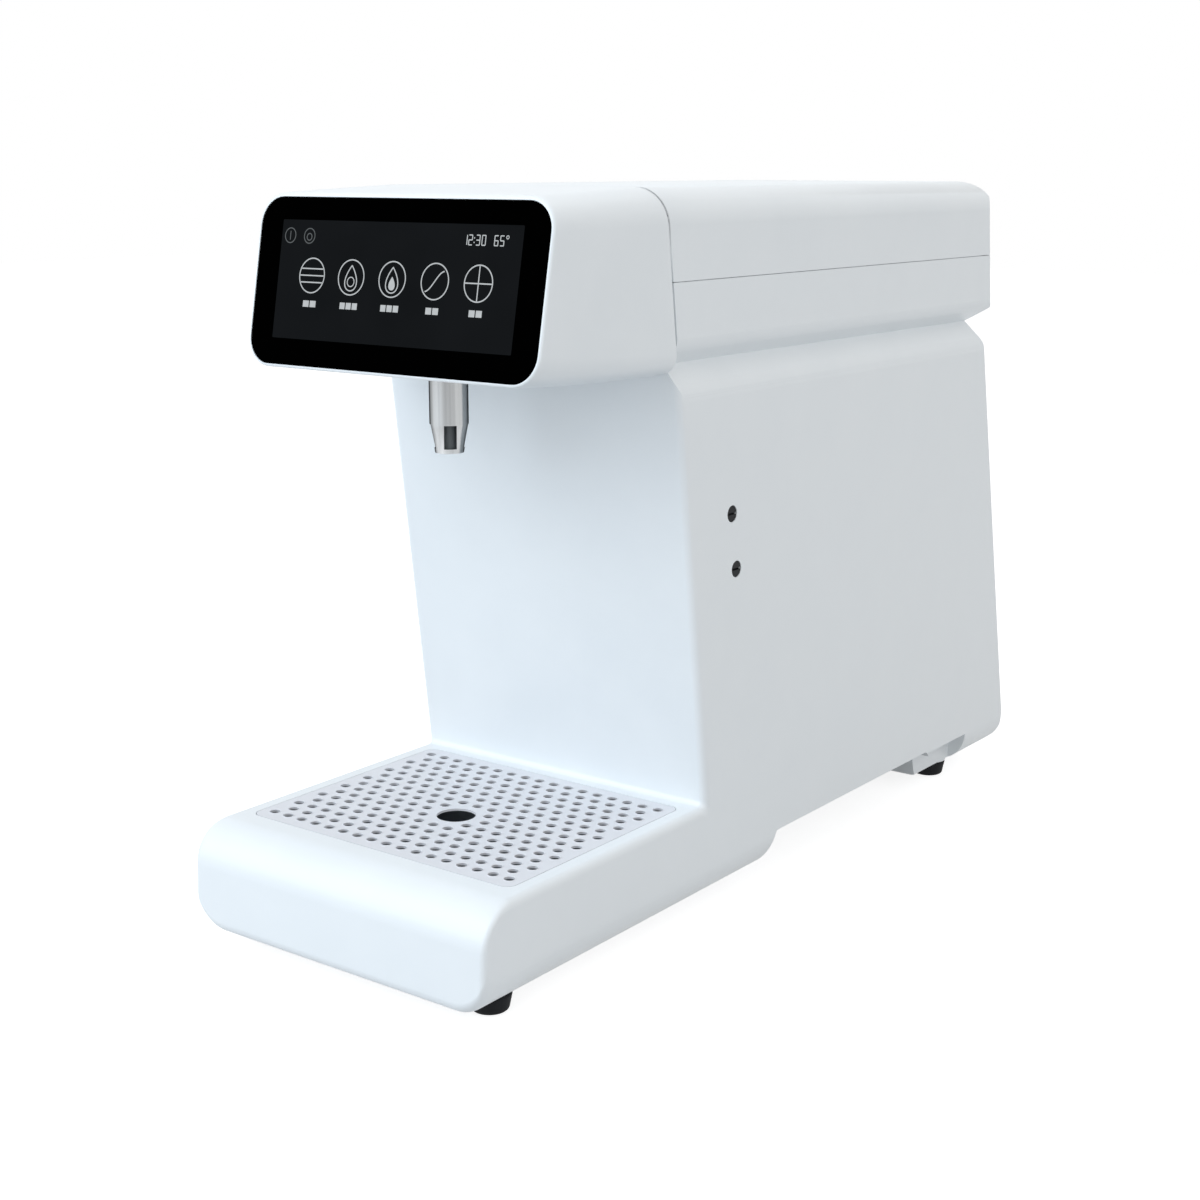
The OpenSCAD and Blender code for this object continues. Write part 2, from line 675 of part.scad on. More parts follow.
module outlet_block() color("silver") translate([0, -nozzle_y, outlet_z]) difference() {
  union() {
    plate(outlet_w, outlet_w, 5, outlet_t);
    translate([0, 0, -spigot_l]) cylinder(r = spigot_r, h = spigot_l + 1);
    translate([0, 0, outlet_t - 1]) cylinder(r = barb_r, h = outlet_barb_l + 1);
  }
  translate([0, 0, -spigot_l - 1])
    cylinder(r = barb_r - barb_wall, h = spigot_l + outlet_t + outlet_barb_l + 2);
  translate([0, 0, -spigot_l - 1]) cylinder(r = tube_r + screw_gap, h = tube_socket + 1);
  translate([0, 0, -ring_drop]) rotate_extrude() translate([ring_mid_r, 0]) circle(r = ring_r + screw_gap);
}

module outlet_oring() color("darkslategray") translate([0, -nozzle_y, outlet_z - ring_drop])
  rotate_extrude() translate([ring_mid_r, 0]) circle(r = ring_r);

module outlet_tube() color("dimgray") translate([0, -nozzle_y, tip_z + 2])
  pipe(outlet_z - spigot_l + tube_socket - screw_gap - tip_z - 2, tube_r, tube_bore_r);

module nozzle_sleeve() color("silver") translate([0, -nozzle_y, 0]) difference() {
  taper_z = tip_z + nozzle_taper;
  sleeve_top = outlet_z - 2 * lift_gap;
  tip_wall = 1.6;
  band = 2.3;
  rotate_extrude() polygon([[sleeve_bore_r, sleeve_top], [sleeve_bore_r, taper_z],
    [nozzle_tip_r - tip_wall, tip_z], [nozzle_tip_r, tip_z], [nozzle_r, taper_z], [nozzle_r, sleeve_top]]);
  for (a = [45 : 90 : 315]) rotate([0, 0, a]) translate([0, -window_w / 2, tip_z + band])
    cube([2 * nozzle_r, window_w, nozzle_taper - band - 0.5]);
}

// Drip tray and grid lift off upwards
tray_side_gap = 2;
tray_r = 8;
function tray_size(all, grow) = all - 2 * ledge_w - 2 * tray_side_gap + 2 * grow;
module tray_outline(grow) translate([0, grid_mid])
  rounded(rect(tray_size(grid_w, grow), tray_size(grid_d, grow), tray_r + grow));

module drip_tray() color("whitesmoke") difference() {
  tray_top = tray_seat_z + lift_gap + tray_t;
  tray_wall = 2;
  union() {
    translate([0, 0, tray_top - tray_h]) linear_extrude(tray_h) tray_outline(0);
    translate([0, 0, tray_top - tray_t]) linear_extrude(tray_t) grid_sheet(0);
  }
  translate([0, 0, tray_top - tray_h + tray_wall]) linear_extrude(tray_h) tray_outline(-tray_wall);
}

function holes_in(row) = row % 2 == 0 ? holes_per_row : holes_per_row - 1;
function hole_spot(row, i) =
  [(i - (holes_in(row) - 1) / 2) * hole_pitch, (row - (hole_rows - 1) / 2) * row_pitch];

module drip_grid() color("gainsboro") translate([0, grid_mid, deck_z - grid_t]) {
  drain = [0, -nozzle_y - grid_mid];
  land = 0.8;
  linear_extrude(grid_t) difference() {
    translate([0, -grid_mid]) grid_sheet(0);
    translate(drain) circle(r = centre_hole_r);
    for (row = [0 : hole_rows - 1], i = [0 : holes_in(row) - 1])
      let (spot = hole_spot(row, i))
        if (norm(spot - drain) > centre_hole_r + hole_r + land) translate(spot) circle(r = hole_r);
  }
  translate([0, -grid_mid, grid_t - grid_rim]) linear_extrude(grid_rim - grid_t / 2) difference() {
    grid_sheet(0);
    grid_sheet(-grid_t);
  }
}

// Lid: shell with hinge knuckles, an inner liner and the gasket that closes on the tank's flange
flange_t = 2;
gasket_w = 6;
liner_t = 2;
liner_low = seam_z - 4;
gasket_low = flange_z + flange_t + lift_gap;

module lid_shell() color("white") difference() {
  low = seam_z + seam;
  union() {
    difference() {
      crossed(lid_side(low), lid_front(low));
      crossed(inset(lid_side(low - 4 * wall), wall), inset(lid_front(low - 4 * wall), wall));
    }
    both_sides() knuckle(lid_knuckle[0], lid_knuckle[1], low + seam / 2, seam_z + knuckle_r);
  }
  crown_edges_outside();
  both_sides() rod_x(pin_ends[0], pin_ends[1], hinge_y, seam_z, pin_r + turn_gap);
}

module lid_liner() color("whitesmoke") difference() {
  translate([0, 0, liner_low]) linear_extrude(top_z - wall - liner_low) tank_sheet(flange_w);
  translate([0, 0, liner_low + liner_t]) linear_extrude(reach) tank_sheet(flange_w - liner_t);
}

module lid_gasket() color("gray") difference() {
  translate([0, 0, gasket_low]) linear_extrude(liner_low - gasket_low) tank_sheet(gasket_w);
  translate([0, 0, gasket_low - 1]) linear_extrude(reach) tank_sheet(0);
}

module hinge_pins() color("silver") both_sides() rod_x(pin_ends[0], pin_ends[1], hinge_y, seam_z, pin_r);

// Milk tank in its jacket, on a shelf
tank_floor_z = flange_z - tank_h;
jacket_low = tank_floor_z - jacket_t;
shelf_t = 2;
pump_w = 44;
milk_bend = 15;
milk_x = pump_w / 2 + barb_l + 1 + milk_bend;
milk_back = 24;
milk_y = pump_y + milk_back;
milk_drop = 26;
jacket_gap = 0.5;

module milk_tank() color("silver") difference() {
  union() {
    translate([0, 0, tank_floor_z]) linear_extrude(tank_h + flange_t) tank_sheet(0);
    translate([0, 0, flange_z]) linear_extrude(flange_t) tank_sheet(flange_w);
    rod_z(tank_floor_z - milk_drop, tank_floor_z + tank_t, milk_x, milk_y, barb_r);
  }
  translate([0, 0, tank_floor_z + tank_t]) linear_extrude(reach) tank_sheet(-tank_t);
  rod_z(tank_floor_z - milk_drop - 1, tank_floor_z + tank_t + 1, milk_x, milk_y, barb_r - barb_wall);
}

fan_z = tank_floor_z + fan_rise;
jacket_y1 = tank_y1 + jacket_t;
module tank_jacket() color("lightsteelblue") difference() {
  translate([0, 0, jacket_low]) linear_extrude(waist_z - 2 * wall - jacket_low) tank_sheet(jacket_t);
  translate([0, 0, tank_floor_z - lift_gap]) linear_extrude(reach) tank_sheet(jacket_gap);
  rod_z(jacket_low - 1, tank_floor_z + 1, milk_x, milk_y, hose_r + hose_gap);
  on_fan(cold_w + 2 * jacket_gap, tank_y1 - 1, jacket_y1 + 1);
}

leg_x = tank_w / 2 + jacket_t + 2;
leg_w = 30;
leg_foot = 14;
leg_in_front = 20;
leg_in_rear = 61;
leg_spots = [pad_rear_start - step_len - leg_in_rear, -pad_front_end + step_len + leg_in_front];
tongue_w = 52;
module chassis_shelf() color("lightgray") difference() {
  low = jacket_low - shelf_t;
  union() {
    box([-leg_x, tank_y0 - jacket_t - 6, low], [leg_x, jacket_y1, jacket_low]);
    box([-tongue_w / 2, -riser_y - heater_r - 3, low], [tongue_w / 2, tank_y, jacket_low]);
    both_sides() for (y = leg_spots) {
      box([leg_x - shelf_t, y, belly_floor_z], [leg_x, y + leg_w, low + 1]);
      box([leg_x - leg_foot, y, belly_floor_z], [leg_x, y + leg_w, belly_floor_z + shelf_t]);
    }
  }
  rod_z(low - 1, jacket_low + 1, 0, -riser_y, hose_r + hose_gap);
  rod_z(low - 1, jacket_low + 1, milk_x, milk_y, hose_r + hose_gap);
}

// A square block on the fan's axis
module on_fan(w, y0, y1) box([-w / 2, y0, fan_z - w / 2], [w / 2, y1, fan_z + w / 2]);

module cold_block() color("silver") on_fan(cold_w, tank_y1, jacket_y1);

peltier_w = 40;
sink_y = jacket_y1 + peltier_t;
module peltier() color("white") on_fan(peltier_w, jacket_y1, sink_y);

fan_y = sink_y + sink_d;
module heat_sink() color("silver") {
  fins = 13;
  fin_t = 2;
  base_t = 6;
  on_fan(fan_w, sink_y, sink_y + base_t);
  for (i = [0 : fins - 1]) let (x = -fan_w / 2 + i * (fan_w - fin_t) / (fins - 1))
    box([x, sink_y + base_t - 1, fan_z - fan_w / 2], [x + fin_t, fan_y, fan_z + fan_w / 2]);
}

fan_hub_r = 17;
fan_pin_r = 1.5;
rotor_y = fan_y + 5;
rotor_room = 8;
rotor_d = fan_d - rotor_room;
rotor_cap = 3;
module fan_frame() color("dimgray") difference() {
  arm_t = 4;
  arm_w = 6;
  lug = fan_w / 2 - 5;
  union() {
    difference() {
      on_axis([0, fan_y, fan_z], [1, 0, 0], [0, 0, -1]) plate(fan_w, fan_w, 5, fan_d);
      rod_y(fan_y - 1, fan_y + fan_d + 1, 0, fan_z, fan_w / 2 - 3);
    }
    for (a = [45, 135]) translate([0, fan_y + arm_t / 2, fan_z]) rotate([0, a, 0])
      cube([fan_w - 4, arm_t, arm_w], center = true);
    rod_y(fan_y, fan_y + arm_t, 0, fan_z, fan_hub_r);
    rod_y(fan_y, rotor_y + rotor_d - rotor_cap - turn_gap, 0, fan_z, fan_pin_r);
  }
  for (x = [-lug, lug], z = [-lug, lug]) rod_y(fan_y - 1, fan_y + fan_d + 1, x, fan_z + z, foot_screw_r);
}

module fan_rotor() color("black") translate([0, rotor_y, fan_z]) difference() {
  blades = 7;
  blade_r = fan_w / 2 - 4.5;
  blade_t = 1.8;
  blade_pitch = 38;
  union() {
    rod_y(0, rotor_d, 0, 0, fan_hub_r);
    intersection() {
      for (i = [0 : blades - 1]) rotate([0, i * 360 / blades, 0]) translate([fan_hub_r - 1, rotor_d / 2, 0])
        rotate([blade_pitch, 0, 0]) translate([0, -rotor_d, -blade_t / 2])
          cube([fan_w, 2 * rotor_d, blade_t]);
      difference() {
        rod_y(1, rotor_d - 1, 0, 0, blade_r);
        rod_y(0, rotor_d, 0, 0, fan_hub_r - 1);
      }
    }
  }
  rod_y(-1, rotor_d - rotor_cap, 0, 0, fan_pin_r + turn_gap);
}

// Gear pump, driven by its motor through the bracket's plate
drive_z = belly_floor_z + pump_z;
idler_z = drive_z + gear_axis;
mesh_z = (drive_z + idler_z) / 2;
cover_plate_t = 10;
chamber_y = pump_y + cover_plate_t;
chamber_l = gear_l + 1;
pump_block_l = 30;
bracket_y = chamber_y + pump_block_l;
bracket_t = 3;
motor_y = bracket_y + bracket_t;
pump_low = drive_z - 20;
pump_high = idler_z + 20;
shaft_r = 3;
port_r = 3;
pump_screw_spots = [for (x = [-1, 1], z = [pump_low + 5, pump_high - 5]) [x * (pump_w / 2 - 5), z]];

module pump_bracket() color("lightgray") difference() {
  side = pump_w / 2 + 6;
  foot_l = 34;
  union() {
    box([-side, bracket_y, belly_floor_z], [side, motor_y, pump_high]);
    box([-side, bracket_y, belly_floor_z], [side, motor_y + foot_l, belly_floor_z + bracket_t]);
  }
  rod_y(bracket_y - 1, motor_y + 1, 0, drive_z, 2 * shaft_r);
}

module pump_motor() color("slategray") difference() {
  end_y = motor_y + motor_l;
  cap_l = 8;
  tab_x = 9;
  tab = [4, 6, 1];
  union() {
    rod_y(motor_y, end_y, 0, drive_z, motor_r);
    rod_y(end_y - 1, end_y + cap_l, 0, drive_z, motor_r / 2);
    both_sides() translate([tab_x - tab[0] / 2, end_y - 1, drive_z + motor_r / 2 + 1]) cube(tab + [0, 1, 0]);
  }
  rod_y(motor_y - 1, motor_y + 14, 0, drive_z, shaft_r + turn_gap);
}

module pump_body() color("silver") difference() {
  union() {
    box([-pump_w / 2, chamber_y, pump_low], [pump_w / 2, bracket_y, pump_high]);
    rod_x(pump_w / 2 - 1, pump_w / 2 + barb_l, milk_y, mesh_z, barb_r);
  }
  for (z = [drive_z, idler_z]) rod_y(chamber_y - 1, chamber_y + chamber_l, 0, z, gear_r + turn_gap);
  rod_y(chamber_y, bracket_y + 1, 0, drive_z, shaft_r + turn_gap);
  rod_y(chamber_y, bracket_y - 3, 0, idler_z, shaft_r + turn_gap);
  rod_x(gear_r / 2, pump_w / 2 + barb_l + 1, milk_y, mesh_z, port_r - 0.4);
  for (p = pump_screw_spots) rod_y(chamber_y - 1, chamber_y + 20, p[0], p[1], small_screw_r + screw_gap);
}

module pump_cover() color("gainsboro") difference() {
  box([-pump_w / 2, pump_y, pump_low], [pump_w / 2, chamber_y, pump_high]);
  rod_y(chamber_y - 5, chamber_y + 1, 0, idler_z, shaft_r + turn_gap);
  rod_y(pump_y - 1, chamber_y + 1, -gear_r / 2, mesh_z, port_r - 0.5);
  for (p = pump_screw_spots) rod_y(pump_y - 1, chamber_y + 1, p[0], p[1], small_screw_r + screw_gap);
}

// A gear with straight-sided teeth, free of its neighbour by a backlash on both flanks
module gear(phase) {
  pitch = PI * gear_axis / gear_teeth;
  root_r = gear_axis - gear_r - 0.4;
  sunk_r = root_r - 1;
  root_w = 0.525 * pitch;
  tip_w = 0.207 * pitch;
  tooth = [[sunk_r, -root_w / 2], [gear_r, -tip_w / 2], [gear_r, tip_w / 2], [sunk_r, root_w / 2]];
  circle(r = root_r);
  for (i = [0 : gear_teeth - 1]) rotate((i + phase) * 360 / gear_teeth) polygon(tooth);
}

module gear_on_y(phase, z) translate([0, chamber_y + 0.5, z]) rotate([90, 0, 0]) translate([0, 0, -gear_l])
  linear_extrude(gear_l) gear(phase);

// The drive gear has a tooth straight up, and the idler a gap straight down
module pump_drive_gear() color("darkgray") {
  gear_on_y(0.25 * gear_teeth, drive_z);
  rod_y(chamber_y + gear_l, motor_y + 12, 0, drive_z, shaft_r);
}

module pump_idler_gear() color("darkgray") {
  gear_on_y(0.75 * gear_teeth + 0.5, idler_z);
  rod_y(chamber_y - 4, chamber_y + 1, 0, idler_z, shaft_r);
  rod_y(chamber_y + gear_l, bracket_y - 4, 0, idler_z, shaft_r);
}

// Foam path: mixing chamber on the pump cover, feed hose, flow heater, foam hose to the outlet
mix_r = 13;
mix_l = 40;
mix_y = pump_y - mix_l;
air_y = pump_y - 30;
air_port_r = 2.2;
module mixing_chamber() color("gainsboro") difference() {
  union() {
    rod_y(mix_y, pump_y, 0, mesh_z, mix_r);
    rod_y(pump_y - 4, pump_y, 0, mesh_z, mix_r + 4);
    rod_y(mix_y - barb_l, mix_y + 1, 0, mesh_z, barb_r);
    rod_x(mix_r - 2, mix_r + 6, air_y, mesh_z, air_port_r + 2.5);
    rod_x(mix_r + 5, mix_r + 15, air_y, mesh_z, air_port_r);
  }
  rod_y(mix_y + 4, pump_y + 1, 0, mesh_z, mix_r - 4);
  rod_y(mix_y - barb_l - 1, mix_y + 5, 0, mesh_z, barb_r - barb_wall);
  rod_x(mix_r - 5, mix_r + 16, air_y, mesh_z, air_port_r - 0.8);
}

feed_bend = riser_y + mix_y - barb_l - 2;
module feed_hose() color("ivory") {
  start = mix_y - 1;
  bend_y = feed_bend - riser_y;
  on_axis([0, start, mesh_z], [1, 0, 0], [0, 0, 1]) pipe(start - bend_y, hose_r, hose_bore_r);
  on_axis([0, bend_y, mesh_z + feed_bend], [0, 0, -1], [0, -1, 0]) elbow(feed_bend, hose_r, hose_bore_r);
  translate([0, -riser_y, mesh_z + feed_bend]) pipe(jacket_low - 1 - mesh_z - feed_bend, hose_r, hose_bore_r);
}

heater_top = jacket_low + heater_l;
module flow_heater() color("silver") translate([0, -riser_y, jacket_low]) difference() {
  cap_t = 6;
  union() {
    cylinder(r = heater_r, h = heater_l);
    for (z = [0, heater_l - cap_t]) translate([0, 0, z]) cylinder(r = heater_r + 2.5, h = cap_t);
    translate([0, 0, -barb_l]) cylinder(r = barb_r, h = barb_l + 1);
    translate([0, 0, heater_l - 1]) cylinder(r = barb_r, h = barb_l + 1);
    for (z = [25, heater_l - 25]) translate([heater_r - 2, -3, z]) cube([9, 6, 1]);
  }
  translate([0, 0, -barb_l - 1]) cylinder(r = barb_r - barb_wall, h = heater_l + 2 * barb_l + 2);
}

module foam_hose() color("ivory") {
  low = foam_z - foam_bend;
  end_z = outlet_z + outlet_t + 1;
  translate([0, -riser_y, heater_top + 1]) pipe(low - heater_top - 1, hose_r, hose_bore_r);
  on_axis([0, -riser_y - foam_bend, low], [0, 1, 0], [0, 0, 1]) elbow(foam_bend, hose_r, hose_bore_r);
  on_axis([0, -riser_y - foam_bend, foam_z], [1, 0, 0], [0, 0, 1])
    pipe(nozzle_y - riser_y - 2 * foam_bend, hose_r, hose_bore_r);
  on_axis([0, -nozzle_y + foam_bend, low], [0, 0, 1], [0, -1, 0]) elbow(foam_bend, hose_r, hose_bore_r);
  translate([0, -nozzle_y, end_z]) pipe(low - end_z, hose_r, hose_bore_r);
}

module suction_hose() color("ivory") {
  top = jacket_low - shelf_t - 0.5;
  port_x = pump_w / 2 + 1;
  on_axis([port_x, milk_y, mesh_z], [0, 1, 0], [0, 0, 1])
    pipe(milk_x - milk_bend - port_x, hose_r, hose_bore_r);
  on_axis([milk_x - milk_bend, milk_y, mesh_z + milk_bend], [0, 0, -1], [1, 0, 0])
    elbow(milk_bend, hose_r, hose_bore_r);
  translate([milk_x, milk_y, mesh_z + milk_bend]) pipe(top - mesh_z - milk_bend, hose_r, hose_bore_r);
}

// Air side: valve block behind the right wall, its two needle screws and the hose to the chamber
block_d = 31;
block_y = [-knob_upper_y - 14, -knob_lower_y + 21];
block_z = [knob_lower_z - 16, knob_upper_z + 17];
air_x = inner_w - 22;
air_block_y = -knob_lower_y + 11.8;
knob_l = 9;
needle_r = 2.5;
needle_l = 20;
head_inset = 0.2;
module air_block() color("lightgray") difference() {
  union() {
    box([inner_w - block_d, block_y[0], block_z[0]], [inner_w, block_y[1], block_z[1]]);
    rod_z(block_z[0] - barb_l, block_z[0] + 1, air_x, air_block_y, air_port_r);
  }
  for (k = knobs) {
    rod_x(half_w - knob_l - 1, half_w, k[0], k[1], knob_r + turn_gap);
    rod_x(half_w - knob_l - needle_l - 2, half_w, k[0], k[1], needle_r + turn_gap);
  }
  rod_z(block_z[0] - barb_l - 1, block_z[1] - 5, air_x, air_block_y, air_port_r - 0.8);
}

module adjuster(y, z) {
  slot_w = 1.2;
  slot_d = 1.5;
  cone_l = 4;
  face = half_w - head_inset;
  cone_x = face - knob_l - needle_l + cone_l;
  difference() {
    rod_x(face - knob_l, face, y, z, knob_r);
    box([face - slot_d, y - 2 * knob_r, z - slot_w / 2], [face + 1, y + 2 * knob_r, z + slot_w / 2]);
  }
  rod_x(cone_x, face - knob_l + 1, y, z, needle_r);
  translate([cone_x, y, z]) rotate([0, -90, 0]) cylinder(r1 = needle_r, r2 = needle_r / 3, h = cone_l);
}
module adjuster_upper() color("black") adjuster(knobs[0][0], knobs[0][1]);
module adjuster_lower() color("black") adjuster(knobs[1][0], knobs[1][1]);

air_r = 3.4;
air_bore_r = air_port_r + 0.2;
// The air hose turns forward at the pump's height and climbs in front of the shelf
module air_hose() color("ivory") {
  bend = (air_y - air_block_y) / 2;
  start_x = mix_r + 7;
  on_axis([start_x, air_y, mesh_z], [0, 1, 0], [0, 0, 1])
    pipe(air_x - bend - start_x, air_r, air_bore_r);
  on_axis([air_x - bend, air_y - bend, mesh_z], [0, 1, 0], [1, 0, 0]) elbow(bend, air_r, air_bore_r);
  on_axis([air_x, air_y - bend, mesh_z + bend], [0, 0, -1], [0, -1, 0]) elbow(bend, air_r, air_bore_r);
  translate([air_x, air_block_y, mesh_z + bend]) pipe(block_z[0] - 1 - mesh_z - bend, air_r, air_bore_r);
}

// Electrics
module power_supply() color("silver") difference() {
  size = [120, 72, 44];
  low = [-size[0] / 2, pad_rear_start + 8, floor_z];
  slot = [vent_w, 50, 1.2];
  box(low, low + size);
  for (i = [-4 : 4]) translate([3 * i * vent_w, low[1] + size[1] / 2, low[2] + size[2] - slot[2]])
    plate(slot[0], slot[1], vent_end_r, 2 * slot[2]);
}

board_in = 30;
board_back = 40;
module control_board() color("seagreen") translate([inner_w - board_in, milk_y + board_back, belly_floor_z]) {
  size = [42, 66];
  stand = 8;
  post = size / 2 - [4, 4];
  relays = [[-10, -18, 14, 20, 15], [10, -20, 10, 12, 18]];
  chips = [[-8, 8, 18, 18, 4], [12, 14, 8, 24, 10], [-10, 26, 16, 7, 9]];
  translate([0, 0, stand]) plate(size[0], size[1], 2, board_t);
  for (x = [-1, 1], y = [-1, 1]) translate([x * post[0], y * post[1], 0])
    cylinder(r = post_r, h = stand + eps);
  for (c = concat(relays, chips)) translate([c[0], c[1], stand + board_t - eps]) plate(c[2], c[3], 0.5, c[4]);
}

inlet_body_d = 22;
module power_inlet() color("black") at_rear(2 * rest_gap) translate([inlet_at[0], inlet_at[1], 0]) {
  flange = [50, 25, 3];
  socket = [24, 16.5, 15];
  face = cover_t + flange[2];
  pins = [[-7, -2], [0, 3], [7, -2]];
  pin = [2, 4, 13];
  blade = [6, 0.8, 8];
  difference() {
    union() {
      translate([0, 0, cover_t]) plate(flange[0], flange[1], small_r, flange[2]);
      translate([0, 0, -inlet_body_d])
        plate(inlet_hole[0] - 1, inlet_hole[1] - 1, small_r / 2, inlet_body_d + cover_t + 1);
    }
    translate([0, 0, face - socket[2]]) plate(socket[0], socket[1], 2, socket[2] + 1);
    both_sides() translate([flange[0] / 2 - 5, 0, 0]) cylinder(r = small_screw_r + screw_gap, h = 2 * face);
  }
  for (p = pins) translate([p[0], p[1], face - socket[2] - 1]) plate(pin[0], pin[1], 0, pin[2]);
  for (x = [-7, 0, 7]) translate([x, 0, -inlet_body_d - blade[2]]) plate(blade[0], blade[1], 0, blade[2] + 1);
}

// Rocker: a drum segment that turns in its frame
rocker_r = 8;
rocker_w = 10.6;
rocker_pin_r = 1.2;
rocker_pivot = cover_t - 1;
module across(r, l) rotate([90, 0, 0]) cylinder(r = r, h = l, center = true);
module at_switch() at_rear(2 * rest_gap) translate([switch_at[0], switch_at[1], 0]) children();

module switch_frame() color("black") at_switch() difference() {
  flange = [22, 16, 1.6];
  body_d = 14;
  blade = [0.8, 6, 8];
  union() {
    translate([0, 0, cover_t]) plate(flange[0], flange[1], small_r / 2, flange[2]);
    translate([0, 0, -body_d])
      plate(switch_hole[0] - 0.6, switch_hole[1] - 0.6, small_r / 4, body_d + cover_t + 1);
    for (x = [-5, 5]) translate([x, 0, -body_d - blade[2]]) plate(blade[0], blade[1], 0, blade[2] + 1);
  }
  translate([0, 0, rocker_pivot]) across(rocker_r + turn_gap, rocker_w + 2 * turn_gap);
  translate([0, 0, rocker_pivot]) across(rocker_pin_r + turn_gap, rocker_w + 2);
}

module switch_rocker() color("black") at_switch() translate([0, 0, rocker_pivot]) {
  intersection() {
    across(rocker_r, rocker_w);
    rotate([90, 0, 0]) linear_extrude(rocker_w + 2, center = true)
      polygon([[-9, -5], [9, -5], [9, 4.4], [0, 2.6], [-9, 4.4]]);
  }
  across(rocker_pin_r, rocker_w + 1.4);
}

// Feet and screws
foot_grip_t = 4;
foot_bore_z = foot_h - foot_grip_t;
foot_bore_r = 5;
small_head_r = 3;
small_head_h = 2;
module small_screw(l) screw(small_screw_r, l, small_head_r, small_head_h);

module rubber_feet() color("black") for (p = foot_spots) translate([p[0], p[1], 0]) difference() {
  cylinder(r1 = foot_low_r, r2 = foot_r, h = foot_h);
  translate([0, 0, -1]) cylinder(r = foot_bore_r, h = foot_bore_z + 1);
  translate([0, 0, -1]) cylinder(r = foot_screw_r + screw_gap, h = foot_h + 2);
}

module foot_screws() color("silver") for (p = foot_spots)
  translate([p[0], p[1], foot_bore_z]) mirror([0, 0, 1])
    screw(foot_screw_r, foot_grip_t + wall + 4, foot_bore_r - 0.6, small_head_r);

module rear_screws() color("silver") at_rear(2 * rest_gap) for (p = cover_spots)
  translate([p[0], p[1], cover_t]) small_screw(wall + small_boss_h);

module bottom_screws() color("silver") for (p = bottom_spots)
  translate([p[0], p[1], belly_z - bottom_cover_t]) mirror([0, 0, 1]) small_screw(wall + small_boss_h);

module head_screws() color("silver") for (p = head_screw_spots)
  translate([p[0], front_at(p[1]) + wall + 0.6, p[1]]) rotate([-90, 0, 0]) small_screw(18);

module pump_screws() color("silver") for (p = pump_screw_spots)
  translate([p[0], pump_y, p[1]]) rotate([90, 0, 0]) small_screw(24);

main_housing();
bottom_cover();
rear_cover();
tank_collar();
head_shell();
display_glass();
lcd_module();
display_board();
outlet_block();
outlet_tube();
outlet_oring();
nozzle_sleeve();
drip_tray();
drip_grid();
lid_shell();
lid_liner();
lid_gasket();
hinge_pins();
milk_tank();
tank_jacket();
chassis_shelf();
cold_block();
peltier();
heat_sink();
fan_frame();
fan_rotor();
pump_bracket();
pump_motor();
pump_body();
pump_cover();
pump_drive_gear();
pump_idler_gear();
mixing_chamber();
flow_heater();
feed_hose();
foam_hose();
suction_hose();
air_block();
air_hose();
adjuster_upper();
adjuster_lower();
power_supply();
control_board();
power_inlet();
switch_frame();
switch_rocker();
rubber_feet();
foot_screws();
rear_screws();
bottom_screws();
head_screws();
pump_screws();
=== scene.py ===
# %% [markdown]
# # A counter-top milk foam dispenser
# The machine keeps milk cold in a tank, pumps it through a gear pump with a little air, and lets warm or cold
# foam out of a steel nozzle above a drip tray. The solids, with every pump and hose, come ready in millimetres
# from the CAD frame. This lesson gives them their surfaces: moulded plastic, glass, steel and rubber.
# The frame comes first, because each piece below takes its size and place from it.

# %% Load the frame
import math

import bmesh
import bpy
from mathutils import Matrix, Vector


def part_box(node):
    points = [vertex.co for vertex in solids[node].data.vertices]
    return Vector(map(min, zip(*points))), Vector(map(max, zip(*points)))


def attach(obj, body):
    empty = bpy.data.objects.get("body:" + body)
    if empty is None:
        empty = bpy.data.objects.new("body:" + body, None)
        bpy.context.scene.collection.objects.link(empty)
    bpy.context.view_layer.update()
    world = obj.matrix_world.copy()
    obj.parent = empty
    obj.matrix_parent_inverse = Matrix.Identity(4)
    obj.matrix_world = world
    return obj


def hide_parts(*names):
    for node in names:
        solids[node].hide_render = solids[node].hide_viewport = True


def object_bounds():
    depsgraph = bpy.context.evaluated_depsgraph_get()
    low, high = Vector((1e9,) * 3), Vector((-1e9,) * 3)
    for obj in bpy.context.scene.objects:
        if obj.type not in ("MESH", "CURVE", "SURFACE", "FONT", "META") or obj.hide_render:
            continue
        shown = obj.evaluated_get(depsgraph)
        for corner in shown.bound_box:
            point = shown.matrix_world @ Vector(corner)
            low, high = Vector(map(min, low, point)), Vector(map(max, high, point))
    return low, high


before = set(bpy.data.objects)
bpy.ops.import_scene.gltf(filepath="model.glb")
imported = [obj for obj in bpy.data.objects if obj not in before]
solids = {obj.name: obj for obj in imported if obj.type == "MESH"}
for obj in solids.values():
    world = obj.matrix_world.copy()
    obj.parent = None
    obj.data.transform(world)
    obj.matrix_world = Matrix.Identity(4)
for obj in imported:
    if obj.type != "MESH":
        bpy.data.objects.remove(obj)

MM = 0.001
CAD_LOW, CAD_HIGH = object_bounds()
print("solids", len(solids), "box mm", [round(v / MM, 1) for v in CAD_HIGH - CAD_LOW])

# %% [markdown]
# ## Tools for materials
# Colours are written as sRGB hex values, the way a designer notes them, and one function makes them linear.
# One more function adds a node: its settings, and for each input a value or the output it is fed from.
# Most finishes share a start: a Principled shader on an output, and Object coordinates in metres. Most also let a
# pattern run between two colours, and some let it set the roughness and raise the surface by a hair.

# %% Tools for materials
def colour(hex_code):
    """Linear RGBA from an sRGB hex code."""
    parts = [int(hex_code[i:i + 2], 16) / 255 for i in (1, 3, 5)]
    return [c / 12.92 if c <= 0.04045 else ((c + 0.055) / 1.055) ** 2.4 for c in parts] + [1.0]


